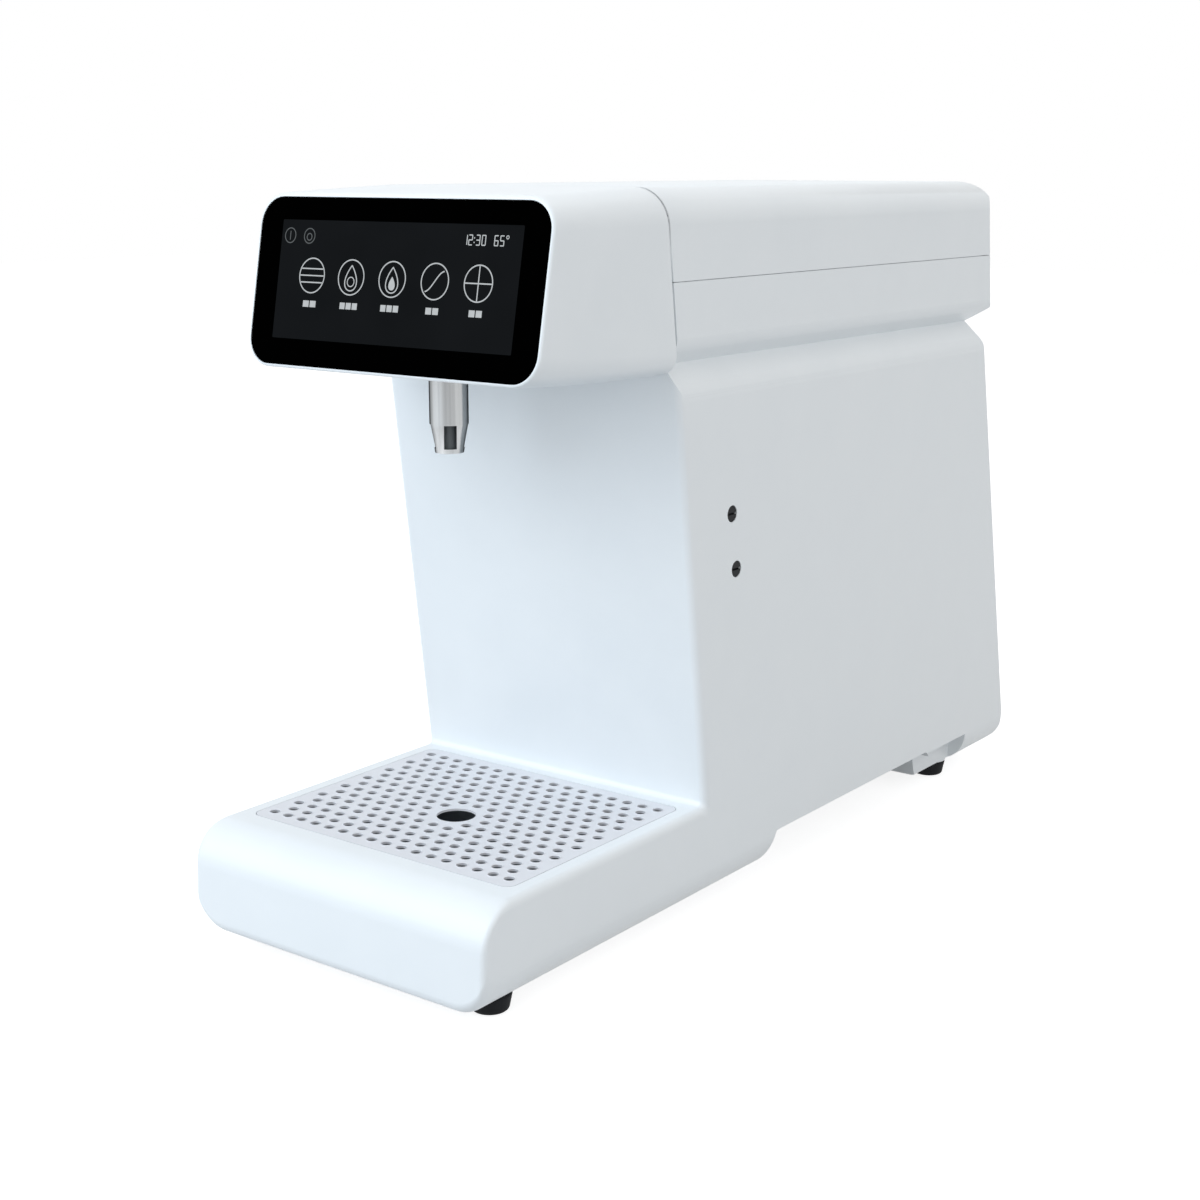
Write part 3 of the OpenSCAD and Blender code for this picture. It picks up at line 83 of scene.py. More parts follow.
def add(tree, kind, inputs=None, **settings):
    """Adds one node. Each input takes a value, or the output that it is linked to."""
    node = tree.nodes.new(kind)
    for name, value in settings.items():
        setattr(node, name, value)
    for name, value in (inputs or {}).items():
        if isinstance(value, bpy.types.NodeSocket):
            tree.links.new(value, node.inputs[name])
        else:
            node.inputs[name].default_value = value
    return node


def per_mm(size):
    """Texture scale, per metre, for a pattern whose features are this many millimetres apart."""
    return 1 / (size * MM)


def start_material(name, **shader):
    """A material with a Principled shader, and the Object coordinates that its patterns read."""
    material = bpy.data.materials.new(name)
    material.use_nodes = True
    tree = material.node_tree
    tree.nodes.clear()
    principled = add(tree, "ShaderNodeBsdfPrincipled", {k.replace("_", " "): v for k, v in shader.items()})
    add(tree, "ShaderNodeOutputMaterial", {"Surface": principled.outputs["BSDF"]})
    where = add(tree, "ShaderNodeTexCoord").outputs["Object"]
    return material, tree, principled, where


def blend(tree, factor, dark, light, target):
    """Runs between two colours as the factor grows, and feeds the target input."""
    tone = add(tree, "ShaderNodeMix", {"Factor": factor}, data_type="RGBA")
    tone.inputs[6].default_value = colour(dark)
    tone.inputs[7].default_value = colour(light)
    tree.links.new(tone.outputs[2], target)


def sheen(tree, principled, pattern, gloss, spread=(0.3, 0.7)):
    """Lets a pattern set the roughness; the spread is the part of the pattern's range that counts."""
    rough = add(tree, "ShaderNodeMapRange", {
        "Value": pattern, "From Min": spread[0], "From Max": spread[1], "To Min": gloss[0], "To Max": gloss[1]})
    tree.links.new(rough.outputs["Result"], principled.inputs["Roughness"])


def relief(tree, principled, pattern, depth, strength=1.0):
    """Raises the surface by a pattern, as deep as this many millimetres."""
    bump = add(tree, "ShaderNodeBump", {"Height": pattern, "Distance": depth * MM, "Strength": strength})
    tree.links.new(bump.outputs["Normal"], principled.inputs["Normal"])


print("a mid grey, linear", [round(c, 3) for c in colour("#808080")])

# %% [markdown]
# ## Two finishes in one recipe: grain and tone
# A moulded or coated surface is never one flat colour. It has a fine grain that the mould or the spray gun left,
# and a slow drift of tone and gloss over some centimetres. The recipe takes both from noise, each with its real
# size in millimetres. Grain below half a millimetre can't show in the picture, so it is drawn at about a
# millimetre and kept shallow.

# %% Grain and tone
def grained(name, light, dark, grain, depth, gloss, drift=45, **shader):
    """A surface with fine grain and slow drift. Sizes are in millimetres, gloss is the roughness's range."""
    material, tree, principled, where = start_material(name, **shader)
    slow = add(tree, "ShaderNodeTexNoise", {"Vector": where, "Scale": per_mm(drift), "Detail": 3.0})
    fine = add(tree, "ShaderNodeTexNoise", {"Vector": where, "Scale": per_mm(grain), "Detail": 2.0})
    blend(tree, slow.outputs["Fac"], dark, light, principled.inputs["Base Color"])
    sheen(tree, principled, slow.outputs["Fac"], gloss)
    relief(tree, principled, fine.outputs["Fac"], depth)
    return material


white_abs = grained("white_abs_moulded", "#EFF3F5", "#E7ECEF", grain=0.9, depth=0.006, gloss=(0.32, 0.42),
                    IOR=1.53)
powder_white = grained("powder_coated_steel", "#E3E4E8", "#DADCE1", grain=1.1, depth=0.012, gloss=(0.36, 0.5))
# The tray's grey is partly its own colour and partly painted shade: it is darkened so that the drain holes above it
# look as dark as the shade under the grid.
tray_abs_painted_shade = grained("grey_abs_tray_painted_shade", "#73777C", "#666A6F", grain=0.9, depth=0.01, gloss=(0.42, 0.55))
liner_abs = grained("pale_abs_liner", "#DDE0E2", "#D2D6D9", grain=0.9, depth=0.01, gloss=(0.4, 0.5))
acetal = grained("pale_acetal_machined", "#DAD9D4", "#CDCCC7", grain=0.8, depth=0.01, gloss=(0.35, 0.5))
black_nylon = grained("black_nylon_moulded", "#191B1F", "#101215", grain=0.8, depth=0.02, gloss=(0.4, 0.55),
                      Specular_IOR_Level=0.15)
grey_tube = grained("grey_silicone_tube", "#62686A", "#54595B", grain=1.0, depth=0.01, gloss=(0.45, 0.6))
foot_rubber = grained("black_rubber_moulded", "#17191D", "#0D0F12", grain=1.0, depth=0.04, gloss=(0.6, 0.8),
                      Specular_IOR_Level=0.2)
alumina = grained("alumina_ceramic_pressed", "#EDECE6", "#DEDDD6", grain=0.7, depth=0.01, gloss=(0.6, 0.7))
print("grained", [m.name for m in bpy.data.materials if m.users == 0])

# %% [markdown]
# ## Metals with a direction
# Turned, brushed and extruded metal carries fine lines along the way it was worked, and those lines draw the
# highlight out across them. The lines are noise that is squeezed hard along one axis. Zinc plating is duller and
# slightly blue. Real tool marks are a few hundredths of a millimetre apart, so they are drawn wider here. On the
# polished steel the same squeezed noise paints broad dark and light bands up its height: painted reflections.

# %% Worked metals
def worked(name, light, dark, line, stretch, gloss, depth=0.004, **shader):
    """Metal with lines: line is their spacing in millimetres, stretch how far they run along each axis."""
    material, tree, principled, where = start_material(name, Metallic=1.0, **shader)
    squeezed = add(tree, "ShaderNodeMapping", {"Vector": where, "Scale": [per_mm(line) / s for s in stretch]})
    lines = add(tree, "ShaderNodeTexNoise", {"Vector": squeezed.outputs["Vector"], "Scale": 1.0, "Detail": 4.0})
    blend(tree, lines.outputs["Fac"], dark, light, principled.inputs["Base Color"])
    sheen(tree, principled, lines.outputs["Fac"], gloss)
    relief(tree, principled, lines.outputs["Fac"], depth)
    return material


turned_steel = worked("stainless_steel_turned", "#C9C8C6", "#A9A9A8", line=0.4, stretch=(60, 60, 1),
                      gloss=(0.16, 0.3))
# Painted reflections: near-black and bright bands seven millimetres apart, running up the sleeve, stand in for a darker
# room mirrored in it.
polished_steel_painted_reflections = worked("stainless_steel_polished_painted_reflections", "#E6E8E9", "#2A2E31", line=7, stretch=(1, 1, 80),
                        gloss=(0.12, 0.2), depth=0.001, Specular_Tint=colour("#2A2C2E"))
drawn_steel = worked("stainless_steel_drawn", "#C6C6C5", "#B0B0B0", line=0.5, stretch=(1, 1, 40), gloss=(0.25, 0.4))
bent_steel = worked("zinc_plated_sheet", "#B9BDC2", "#9FA4AA", line=6, stretch=(1, 1, 1), gloss=(0.35, 0.5))
extruded_aluminium = worked("aluminium_extruded", "#CFD1D3", "#B7BABD", line=0.5, stretch=(1, 1, 50),
                            gloss=(0.3, 0.45))
gear_steel = worked("gear_steel_cut", "#A7A8AA", "#8B8C8F", line=0.4, stretch=(1, 40, 1), gloss=(0.22, 0.38))
screw_zinc = worked("zinc_plated_screw", "#C3C6CA", "#A9ADB3", line=1.2, stretch=(1, 1, 1), gloss=(0.25, 0.4))
print("metals", turned_steel.name, drawn_steel.name, extruded_aluminium.name)

# %% [markdown]
# ## Soft and sheet materials inside the housing
# Silicone hose lets a little light in, so it gets some subsurface scattering. The tank's jacket is rigid foam: its
# skin shows closed cells about two millimetres across. A circuit board is green lacquer over copper tracks, which
# show as paler lanes about a millimetre and a half apart, with raised lines between them.

# %% Inner materials
def extruded_silicone():
    material, tree, principled, where = start_material(
        "silicone_hose_extruded", Roughness=0.42, IOR=1.41, Subsurface_Weight=0.25, Subsurface_Scale=2 * MM)
    haze = add(tree, "ShaderNodeTexNoise", {"Vector": where, "Scale": per_mm(12), "Detail": 2.0})
    blend(tree, haze.outputs["Fac"], "#DCD8CC", "#E8E5DC", principled.inputs["Base Color"])
    return material


def rigid_foam():
    material, tree, principled, where = start_material("polyurethane_foam_moulded", Roughness=0.85)
    cells = add(tree, "ShaderNodeTexVoronoi", {"Vector": where, "Scale": per_mm(2)})
    blend(tree, cells.outputs["Distance"], "#9FAAB4", "#C3CBD2", principled.inputs["Base Color"])
    relief(tree, principled, cells.outputs["Distance"], 0.3, 0.6)
    return material


def circuit_board():
    material, tree, principled, where = start_material("fr4_board_lacquered", Roughness=0.35)
    lanes = add(tree, "ShaderNodeTexBrick", {
        "Vector": where, "Scale": per_mm(1.5), "Color1": colour("#0F5A34"), "Color2": colour("#17693F"),
        "Mortar": colour("#0A4728"), "Mortar Size": 0.2, "Brick Width": 5.0, "Row Height": 1.0})
    tree.links.new(lanes.outputs["Color"], principled.inputs["Base Color"])
    relief(tree, principled, lanes.outputs["Fac"], 0.05, 0.5)
    return material


silicone = extruded_silicone()
foam = rigid_foam()
board_green = circuit_board()
print("inner", silicone.name, foam.name, board_green.name)

# %% [markdown]
# ## Dressing the solids that stay as they are
# A solid whose shape is right keeps its mesh, and only its material changes. The table names the finish of each.

# %% Dress the carried solids
DRESS = {
    powder_white: ["rear_cover", "bottom_cover", "drip_grid"],
    tray_abs_painted_shade: ["drip_tray"],
    liner_abs: ["lid_liner"],
    acetal: ["pump_cover", "mixing_chamber", "air_block"],
    black_nylon: ["adjuster_upper", "adjuster_lower", "power_inlet", "switch_frame", "switch_rocker", "fan_frame",
                  "fan_rotor", "lcd_module"],
    alumina: ["peltier"],
    turned_steel: ["hinge_pins"],
    drawn_steel: ["outlet_block", "milk_tank"],
    bent_steel: ["chassis_shelf", "pump_bracket", "pump_motor", "power_supply"],
    extruded_aluminium: ["cold_block", "heat_sink", "flow_heater", "pump_body"],
    gear_steel: ["pump_drive_gear", "pump_idler_gear"],
    screw_zinc: ["head_screws", "pump_screws"],
    foot_rubber: ["outlet_oring"],
    grey_tube: ["outlet_tube"],
    silicone: ["feed_hose", "foam_hose", "suction_hose", "air_hose", "lid_gasket"],
    foam: ["tank_jacket"],
    board_green: ["display_board", "control_board"],
}


def dress(piece, material):
    piece.data.materials.clear()
    piece.data.materials.append(material)


for material, names in DRESS.items():
    for name in names:
        dress(solids[name], material)
print("dressed", sum(len(names) for names in DRESS.values()))

# %% [markdown]
# ## Soft edges
# A rubber foot or a ground pane has no knife edges, and each small round catches a thin line of light. A Bevel
# modifier makes such rounds on a merged copy of the solid. It rounds only edges that are seen from outside, which a
# ray from each face finds out, and a round fades where two faces meet flat.

# %% Soft copies of solids
from mathutils.bvhtree import BVHTree


def new_piece(name, mesh, material, body, replaces=None):
    """Puts a finished mesh into the scene and ties it to the frame."""
    piece = bpy.data.objects.new(name, mesh)
    bpy.context.scene.collection.objects.link(piece)
    dress(piece, material)
    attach(piece, body)
    if replaces:
        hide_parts(replaces)
    return piece


def in_scene(name, mesh):
    """An object for work in between, which is removed again."""
    obj = bpy.data.objects.new(name, mesh)
    bpy.context.scene.collection.objects.link(obj)
    return obj


def smooth(mesh, angle=32):
    """Smooth shading, except over edges that turn by more than this many degrees."""
    mesh.shade_smooth()
    mesh.set_sharp_from_angle(angle=math.radians(angle))


def plain_mesh(obj):
    """The object's mesh with its modifiers applied; the object itself is removed."""
    bpy.context.view_layer.update()
    done = obj.evaluated_get(bpy.context.evaluated_depsgraph_get())
    mesh = bpy.data.meshes.new_from_object(done)
    bpy.data.objects.remove(obj)
    return mesh


def merged_form(node):
    """A copy of a solid whose faces share their points."""
    form = bmesh.new()
    form.from_mesh(solids[node].data)
    bmesh.ops.remove_doubles(form, verts=form.verts, dist=0.001 * MM)
    return form


def as_mesh(form, name):
    """The mesh of a form, which is freed."""
    mesh = bpy.data.meshes.new(name)
    form.to_mesh(mesh)
    form.free()
    return mesh


def outer_faces(form):
    """The indices of the faces that nothing of the same form stands before."""
    form.faces.index_update()
    skin = BVHTree.FromBMesh(form)
    outer = set()
    for face in form.faces:
        start = face.calc_center_median() + face.normal * 0.05 * MM
        if skin.ray_cast(start, face.normal)[0] is None:
            outer.add(face.index)
    return outer


FLAT_TURN, FULL_TURN = 40, 60  # an edge that turns by fewer degrees stays, and by more it is rounded fully


def soft_copy(node, radius):
    """A copy of a solid whose outer edges are rounded by this many millimetres."""
    form = merged_form(node)
    bmesh.ops.dissolve_limit(form, angle_limit=math.radians(0.3), verts=form.verts, edges=form.edges)
    outer = outer_faces(form)
    weight = form.edges.layers.float.new("bevel_weight_edge")
    for edge in form.edges:
        if edge.is_manifold and edge.is_convex and all(f.index in outer for f in edge.link_faces):
            turn = math.degrees(edge.calc_face_angle())
            edge[weight] = min(1, max(0, (turn - FLAT_TURN) / (FULL_TURN - FLAT_TURN)))
    mesh = as_mesh(form, node + "_soft")
    smooth(mesh)
    obj = in_scene(node + "_soft", mesh)
    bevel = obj.modifiers.new("soft edges", "BEVEL")
    bevel.limit_method = "WEIGHT"
    bevel.width = radius * MM
    bevel.segments = 3
    bevel.use_clamp_overlap = False
    obj.modifiers.new("even shading", "WEIGHTED_NORMAL").keep_sharp = True
    return plain_mesh(obj)


new_piece("feet_skin", soft_copy("rubber_feet", 1.6), foot_rubber, "cabinet", "rubber_feet")

# %% [markdown]
# ## The housing, the collar and the lid
# The housing is one large moulding with wide rounds along its flanks, which run on round every corner of its side
# outline. A second form gives them: the side outline at many places across the width, slimmer and slimmer towards
# the flanks, joined by quads. What the solid and this form have in common is the housing with soft edges.

# %% Outlines across the width
HALF = 100
SLACK = 0.05  # how far a cutting form stands out past the flanks
PAD_Z, BELLY_Z, DECK_Z = 10, 31.5, 65.5
SHOULDER_Z, WAIST_Z, COLLAR_Z = 291.1, 305.5, 314.5
SIDE = [  # corner, its radius, the flank round of the edge that starts there, and the room left over that edge
    ((-278.9, PAD_Z), 6.5, 20, 0.06),  # nose, below
    ((-26, PAD_Z), 4, 0.3, 0.35),  # step up to the raised belly
    ((-20, BELLY_Z), 5, 0.3, 0.35),
    ((166, BELLY_Z), 5, 0.3, 0.35),  # step down to the rear pad
    ((172, PAD_Z), 4, 10, 0.06),
    ((281.98, PAD_Z), 14, 1.6, 0.1),  # leaning rear face
    ((223.1, SHOULDER_Z), 15, 1, 0.05),
    ((213.1, WAIST_Z), 0.5, 0.5, 0.05),  # below the collar
    ((-122.77, WAIST_Z), 0.5, 4.6, 0.02),  # leaning front wall
    ((-93, DECK_Z), 3, 4.6, 0.02),
    ((-276.9, DECK_Z), 22.5, 3.6, 0.02),  # nose, above
]


def flank_shift(x, r, room):
    """How far an edge of the outline lies inwards at this place across the width."""
    over = max(0, abs(x) - (HALF - r))
    return r - math.sqrt(max(0, r * r - over * over)) - room


def meeting(line, other):
    """Where two lines cross; each is a point and a direction."""
    (p, u), (q, v) = line, other
    return p + u * ((q - p).cross(v) / u.cross(v))


def arc_at(before, at, after, r, steps):
    """Points of a round at a corner, no larger than its two edges allow."""
    come, leave = (at - before).normalized(), (after - at).normalized()
    turn = -come.angle_signed(leave)
    reach = math.tan(abs(turn) / 2)
    r = min(r, 0.47 * min((at - before).length, (after - at).length) / reach)
    centre = at - come * r * reach + Vector((-come.y, come.x)) * math.copysign(r, turn)
    first = at - come * r * reach - centre
    return [centre + Matrix.Rotation(turn * k / steps, 2) @ first for k in range(steps + 1)]


def outline_at(x):
    """The side outline at one place across the width."""
    lines = []
    for (corner, _, r, room), (after, *_) in zip(SIDE, SIDE[1:] + SIDE[:1]):
        way = (Vector(after) - Vector(corner)).normalized()
        lines.append((Vector(corner) + Vector((-way.y, way.x)) * flank_shift(x, r, room), way))
    corners = [meeting(lines[i - 1], lines[i]) for i in range(len(lines))]
    points = []
    for i, at in enumerate(corners):
        points += arc_at(corners[i - 1], at, corners[(i + 1) % len(corners)], SIDE[i][1], 9)
    return [(x, p.x, p.y) for p in points]


print("points in an outline", len(outline_at(0)))

# %% [markdown]
# Four tools follow: quads between rings of points, a Boolean, a plain copy of a solid, and normals weighted by area,
# which keep the wide faces flat after a cut and let only the rounds shade.

# %% Lofts and cuts
def loft(rings, ends):
    """Quads between rings. The ends are closed by caps, or else the last ring is joined to the first."""
    form = bmesh.new()
    rows = [[form.verts.new(Vector(p) * MM) for p in points] for points in rings]
    for row, after in zip(rows, rows[1:] if ends else rows[1:] + rows[:1]):
        for i in range(len(row)):
            j = (i + 1) % len(row)
            form.faces.new((row[i], row[j], after[j], after[i]))
    if ends:
        form.faces.new(rows[0])
        form.faces.new(rows[-1])
    bmesh.ops.recalc_face_normals(form, faces=form.faces)
    return form


def cut_by(mesh, tool, operation):
    """The mesh after an exact Boolean with another mesh. Normals that were set before don't fit its new faces."""
    if mesh.has_custom_normals:
        mesh.attributes.remove(mesh.attributes["custom_normal"])
    body, cutter = in_scene("body", mesh), in_scene("cutter", tool)
    cut = body.modifiers.new("cut", "BOOLEAN")
    cut.operation = operation
    cut.object = cutter
    cut.solver = "EXACT"
    done = plain_mesh(body)
    bpy.data.objects.remove(cutter)
    return done


def evened(mesh):
    """Smooth shading with normals weighted by area."""
    smooth(mesh)
    obj = in_scene("evened", mesh)
    obj.modifiers.new("even shading", "WEIGHTED_NORMAL").keep_sharp = True
    return plain_mesh(obj)


def plain_copy(node):
    return as_mesh(merged_form(node), node + "_copy")


print("tools", [tool.__name__ for tool in (loft, cut_by, evened, plain_copy)])

# %% [markdown]
# The places across the width lie close together where the rounds bend, and far apart where nothing changes.

# %% Housing with soft flanks
PLACES = [0, 50, 79.5, 82, 84.5, 87, 89, 91, 92.6, 94, 95.2, 95.9, 96.5, 97.1, 97.7, 98.2, 98.7, 99.1, 99.45, 99.7,
          99.88, 99.97, HALF]
PLACES = [-x for x in PLACES[:0:-1]] + PLACES
OUT = HALF + SLACK
rings = [outline_at(x) for x in PLACES]
rings = [[(-OUT, y, z) for x, y, z in rings[0]]] + rings + [[(OUT, y, z) for x, y, z in rings[-1]]]
soft_form = as_mesh(loft(rings, True), "soft_form")
housing = cut_by(plain_copy("main_housing"), soft_form, "INTERSECT")
print("housing faces", len(housing.polygons))

# %% [markdown]
# The groove between the housing and the collar has soft shoulders. Bars along the whole depth, with rounded corners,
# cut them. The lid above keeps its shape.

# %% Groove, collar and lid
GROOVE = 90  # half the width at the bottom of the groove
LENGTH = 320  # each bar's reach to the front and to the rear


def prism(corners):
    """A bar along the whole depth; each corner is x, z and its radius."""
    points = []
    for i, (x, z, r) in enumerate(corners):
        before, after = corners[i - 1], corners[(i + 1) % len(corners)]
        points += arc_at(Vector(before[:2]), Vector((x, z)), Vector(after[:2]), r, 8)
    return as_mesh(loft([[(p.x, y, p.y) for p in points] for y in (-LENGTH, LENGTH)], True), "prism")


shoulders = prism([
    (-OUT, -5, 1), (OUT, -5, 1), (OUT, SHOULDER_Z, 20),
    (GROOVE, WAIST_Z + 0.1, 0.1), (-GROOVE, WAIST_Z + 0.1, 0.1), (-OUT, SHOULDER_Z, 20)])
housing = evened(cut_by(housing, shoulders, "INTERSECT"))
new_piece("main_housing_skin", housing, white_abs, "cabinet", "main_housing")
under = prism([
    (-GROOVE, WAIST_Z - 0.1, 0.1), (GROOVE, WAIST_Z - 0.1, 0.1), (OUT, COLLAR_Z, 11),
    (OUT, 420, 1), (-OUT, 420, 1), (-OUT, COLLAR_Z, 11)])
collar = evened(cut_by(plain_copy("tank_collar"), under, "INTERSECT"))
new_piece("collar_skin", collar, white_abs, "cabinet", "tank_collar")
lid = evened(plain_copy("lid_shell"))
new_piece("lid_skin", lid, white_abs, "lid", "lid_shell")
print("housing faces", len(housing.polygons), "collar faces", len(collar.polygons))

# %% [markdown]
# The nozzle's sleeve keeps its shape too, but it is polished, so its round faces have to shade without facets.

# %% Nozzle sleeve
sleeve = evened(plain_copy("nozzle_sleeve"))
new_piece("nozzle_skin", sleeve, polished_steel_painted_reflections, "nozzle", "nozzle_sleeve")
print("sleeve faces", len(sleeve.polygons))

# %% [markdown]
# The lid rests on the collar with a gap of less than half a millimetre, and a pale seal lies in it a little behind the
# outer faces. So the seam reads as a fine grey line and not as a black one. At the rear the seal leaves out the hinges.

# %% Seals in the seam
def flank_edge(node, pick):
    """The height at which a solid's flanks end, above or below."""
    return pick(v.co.z for v in solids[node].data.vertices if abs(v.co.x) > (HALF - 0.5) * MM) / MM


SEAL_T, SEAL_DEEP = 0.8, 1  # thickness, and how far it reaches down behind the collar
LID_ROOM = 0.06
BARS = [((side * 98.4, 45), (SEAL_T, 340)) for side in (-1, 1)]  # middle and size of each seal, x and y
BARS += [((x, 228.8), (length, SEAL_T)) for x, length in ((-78, 16), (0, 76), (78, 16))]
seam_low, seam_high = flank_edge("tank_collar", max), flank_edge("lid_shell", min)
seal_low, seal_high = seam_low - SEAL_DEEP, seam_high - LID_ROOM
seals = bmesh.new()
for (x, y), (wide, deep) in BARS:
    middle = Vector((x, y, (seal_low + seal_high) / 2)) * MM
    size = Vector((wide, deep, seal_high - seal_low)) * MM
    bmesh.ops.create_cube(seals, size=1, matrix=Matrix.Translation(middle) @ Matrix.Diagonal(size).to_4x4())
new_piece("seam_seals", as_mesh(seals, "seam_seals"), liner_abs, "cabinet")
print("seam of", round(seam_high - seam_low, 2), "mm")

# %% [markdown]
# ## The head
# The head is one moulding that carries the display. Its front face is only a narrow rim round the glass, while its
# rear end is as wide and as high as the lid. Such a form is a loft: rings of the same number of points, one behind
# the other, each a rounded rectangle, joined by quads. The rings run along the outside, over the rim, into the
# glass pocket, through the screen's window and back along the inside, so the mesh is a closed shell.

# %% Rings of the head
HEAD_LOW, HEAD_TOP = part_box("head_shell")[0].z / MM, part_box("head_shell")[1].z / MM
SEAM_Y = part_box("head_shell")[1].y / MM
WALL_LEAN, GLASS_LEAN = math.radians(7.07), math.radians(10.8)
GLASS_W, GLASS_H, GLASS_R = 188, 84, 14
GLASS_Y, GLASS_Z = -230.2, HEAD_LOW + 4.2
LOW_R, TOP_R = 11, 18  # of the corners at the seam
NARROWS, RISES, SINKS = 4, 2.4, 3  # how far the sides, the underside and the top draw in towards the face
WALL = 3


def seam_y(z):
    """Where the leaning joint to the lid and the collar lies at this height."""
    return SEAM_Y - (z - HEAD_LOW) * math.tan(WALL_LEAN)


def face_y(z):
    """Where the leaning face lies at this height."""
    return GLASS_Y + (z - GLASS_Z) * math.tan(GLASS_LEAN)


def on_circle(x, y, r, degrees):
    return x + r * math.cos(math.radians(degrees)), y + r * math.sin(math.radians(degrees))


def ring(half, low, high, r_low, r_top, arc=9, flat=8):
    """A rounded rectangle of x and z, anticlockwise from the right end of its lower edge."""
    points = []
    corners = [(half - r_low, low + r_low, r_low, -90), (half - r_top, high - r_top, r_top, 0),
               (-half + r_top, high - r_top, r_top, 90), (-half + r_low, low + r_low, r_low, 180)]
    for i, (x, z, r, first) in enumerate(corners):
        points += [on_circle(x, z, r, first + 90 * k / arc) for k in range(arc + 1)]
        (x0, z0), (x1, z1) = points[-1], on_circle(*corners[(i + 1) % 4])
        points += [(x0 + (x1 - x0) * k / flat, z0 + (z1 - z0) * k / flat) for k in range(1, flat)]
    return points


def head_ring(t, inset=0.0, back=0.0):
    """One ring of the head: t runs from the seam (0) to the face (1)."""
    half = HALF - NARROWS * t ** 2 - inset
    low = HEAD_LOW + RISES * t ** 3 + inset
    high = HEAD_TOP - SINKS * t - inset
    flat_ring = ring(half, low, high, LOW_R + 4.5 * t - inset, TOP_R - 2 * t - inset)
    return [(x, (1 - t) * seam_y(z) + t * face_y(z) + back, z) for x, z in flat_ring]


def glass_ring(half, low, high, r, deep):
    """A ring in the display's own plane, deep millimetres behind its face."""
    lean, up = math.sin(GLASS_LEAN), math.cos(GLASS_LEAN)
    flat_ring = ring(half, low, high, r, r)
    return [(x, GLASS_Y + v * lean + deep * up, GLASS_Z + v * up - deep * lean) for x, v in flat_ring]


def quarter(steps):
    """Sine and one minus cosine, for an edge that is rounded in this many steps."""
    return [(math.sin(math.pi / 2 * k / steps), 1 - math.cos(math.pi / 2 * k / steps)) for k in range(steps + 1)]


print("head from", round(HEAD_LOW, 1), "to", round(HEAD_TOP, 1), "points in a ring", len(head_ring(0)))

# %% [markdown]
# The seam end gets a small round too, so that the joint to the lid reads as a soft groove. The nozzle's hole is cut
# by a Boolean, since a round hole doesn't fit the grid of a loft.

# %% Loft of the head
SEAM_R, RIM_R = 1.4, 1.6
POCKET_GAP, POCKET_DEEP = 0.3, 3.2
WINDOW, WINDOW_DEEP = (83, 9, 75, 2), 7  # half its width, lower and upper edge, corner radius
OUTER_STEPS, INNER_STEPS = 16, 8


def head_rings():
    rings = [head_ring(0, inset=SEAM_R * (1 - s), back=-SEAM_R * c) for s, c in quarter(3)]
    rings += [head_ring(k / OUTER_STEPS) for k in range(1, OUTER_STEPS)]
    rings += [head_ring(1, inset=RIM_R * c, back=RIM_R * (1 - s)) for s, c in quarter(4)]
    pocket = (GLASS_W / 2 + POCKET_GAP, -POCKET_GAP, GLASS_H + POCKET_GAP, GLASS_R + POCKET_GAP)
    rings += [glass_ring(*pocket, deep) for deep in (0, POCKET_DEEP)]
    rings += [glass_ring(*WINDOW, deep) for deep in (POCKET_DEEP, WINDOW_DEEP)]
    rings += [head_ring(k / INNER_STEPS, inset=WALL) for k in reversed(range(INNER_STEPS))]
    return rings


def head_mesh():
    low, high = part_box("nozzle_sleeve")
    drill = bmesh.new()
    bmesh.ops.create_cone(
        drill, cap_ends=True, segments=48, radius1=10.5 * MM, radius2=10.5 * MM, depth=4 * WALL * MM,
        matrix=Matrix.Translation(((low.x + high.x) / 2, (low.y + high.y) / 2, HEAD_LOW * MM)))
    done = cut_by(as_mesh(loft(head_rings(), False), "head"), as_mesh(drill, "drill"), "DIFFERENCE")
    smooth(done, 34)
    return done


head = new_piece("head_skin", head_mesh(), white_abs, "cabinet", "head_shell")
print("head faces", len(head.data.polygons))

# %% [markdown]
# The groove below the collar runs out behind the head's two lower corners. A web in each of them closes the head there,
# so that nobody looks into it from behind.

# %% Webs in the head's corners
WEB_TOP, WEB_IN = 313.5, 72  # its upper end, and where it ends towards the middle
WEB_BACKS = (-1, -2.6)  # its two faces, before the seam


def web_ring(side, back):
    """The head's inner corner, and three points that close it towards the middle."""
    rounded = head_ring(0, inset=WALL - 0.5)
    corner = [(x, z) for x, y, z in rounded if x > WEB_IN and z < WEB_TOP]
    corner += [(corner[-1][0], WEB_TOP), (WEB_IN, WEB_TOP), (WEB_IN, corner[0][1])]
    return [(side * x, seam_y(z) + back, z) for x, z in corner]


for side, name in ((-1, "head_web_left"), (1, "head_web_right")):
    web = as_mesh(loft([web_ring(side, back) for back in WEB_BACKS], True), name)
    new_piece(name, web, white_abs, "cabinet")
print("points in a web", len(web_ring(1, 0)))

# %% [markdown]
# ## Glass and lit screen
# Behind the toughened glass lies a wide bar screen. The glass is printed black from behind and has a coating against
# glare, so it mirrors far less than a window pane: its specular level is zero. The screen's image is thin plates on
# the glass: a dark lit panel, five round keys with plain line signs, bars where words would be, and two numbers.
# Flat outlines that are extruded by a hair keep every line sharp at any distance.

# %% Glass
def printed_glass():
    material, tree, principled, where = start_material(
        "toughened_glass_black_print", Base_Color=colour("#010101"), Specular_IOR_Level=0.0)
    # Finger marks leave patches a few centimetres wide that are a little duller.
    marks = add(tree, "ShaderNodeTexNoise", {"Vector": where, "Scale": per_mm(30), "Detail": 4.0})
    sheen(tree, principled, marks.outputs["Fac"], (0.05, 0.16), (0.35, 0.75))
    return material


black_glass = printed_glass()
new_piece("glass_pane", soft_copy("display_glass", 0.5), black_glass, "cabinet", "display_glass")
print("glass", black_glass.name)

# %% [markdown]
# The screen gives its own light. Its panel is nearly black, its lines are pale, and two signs are dimmed.

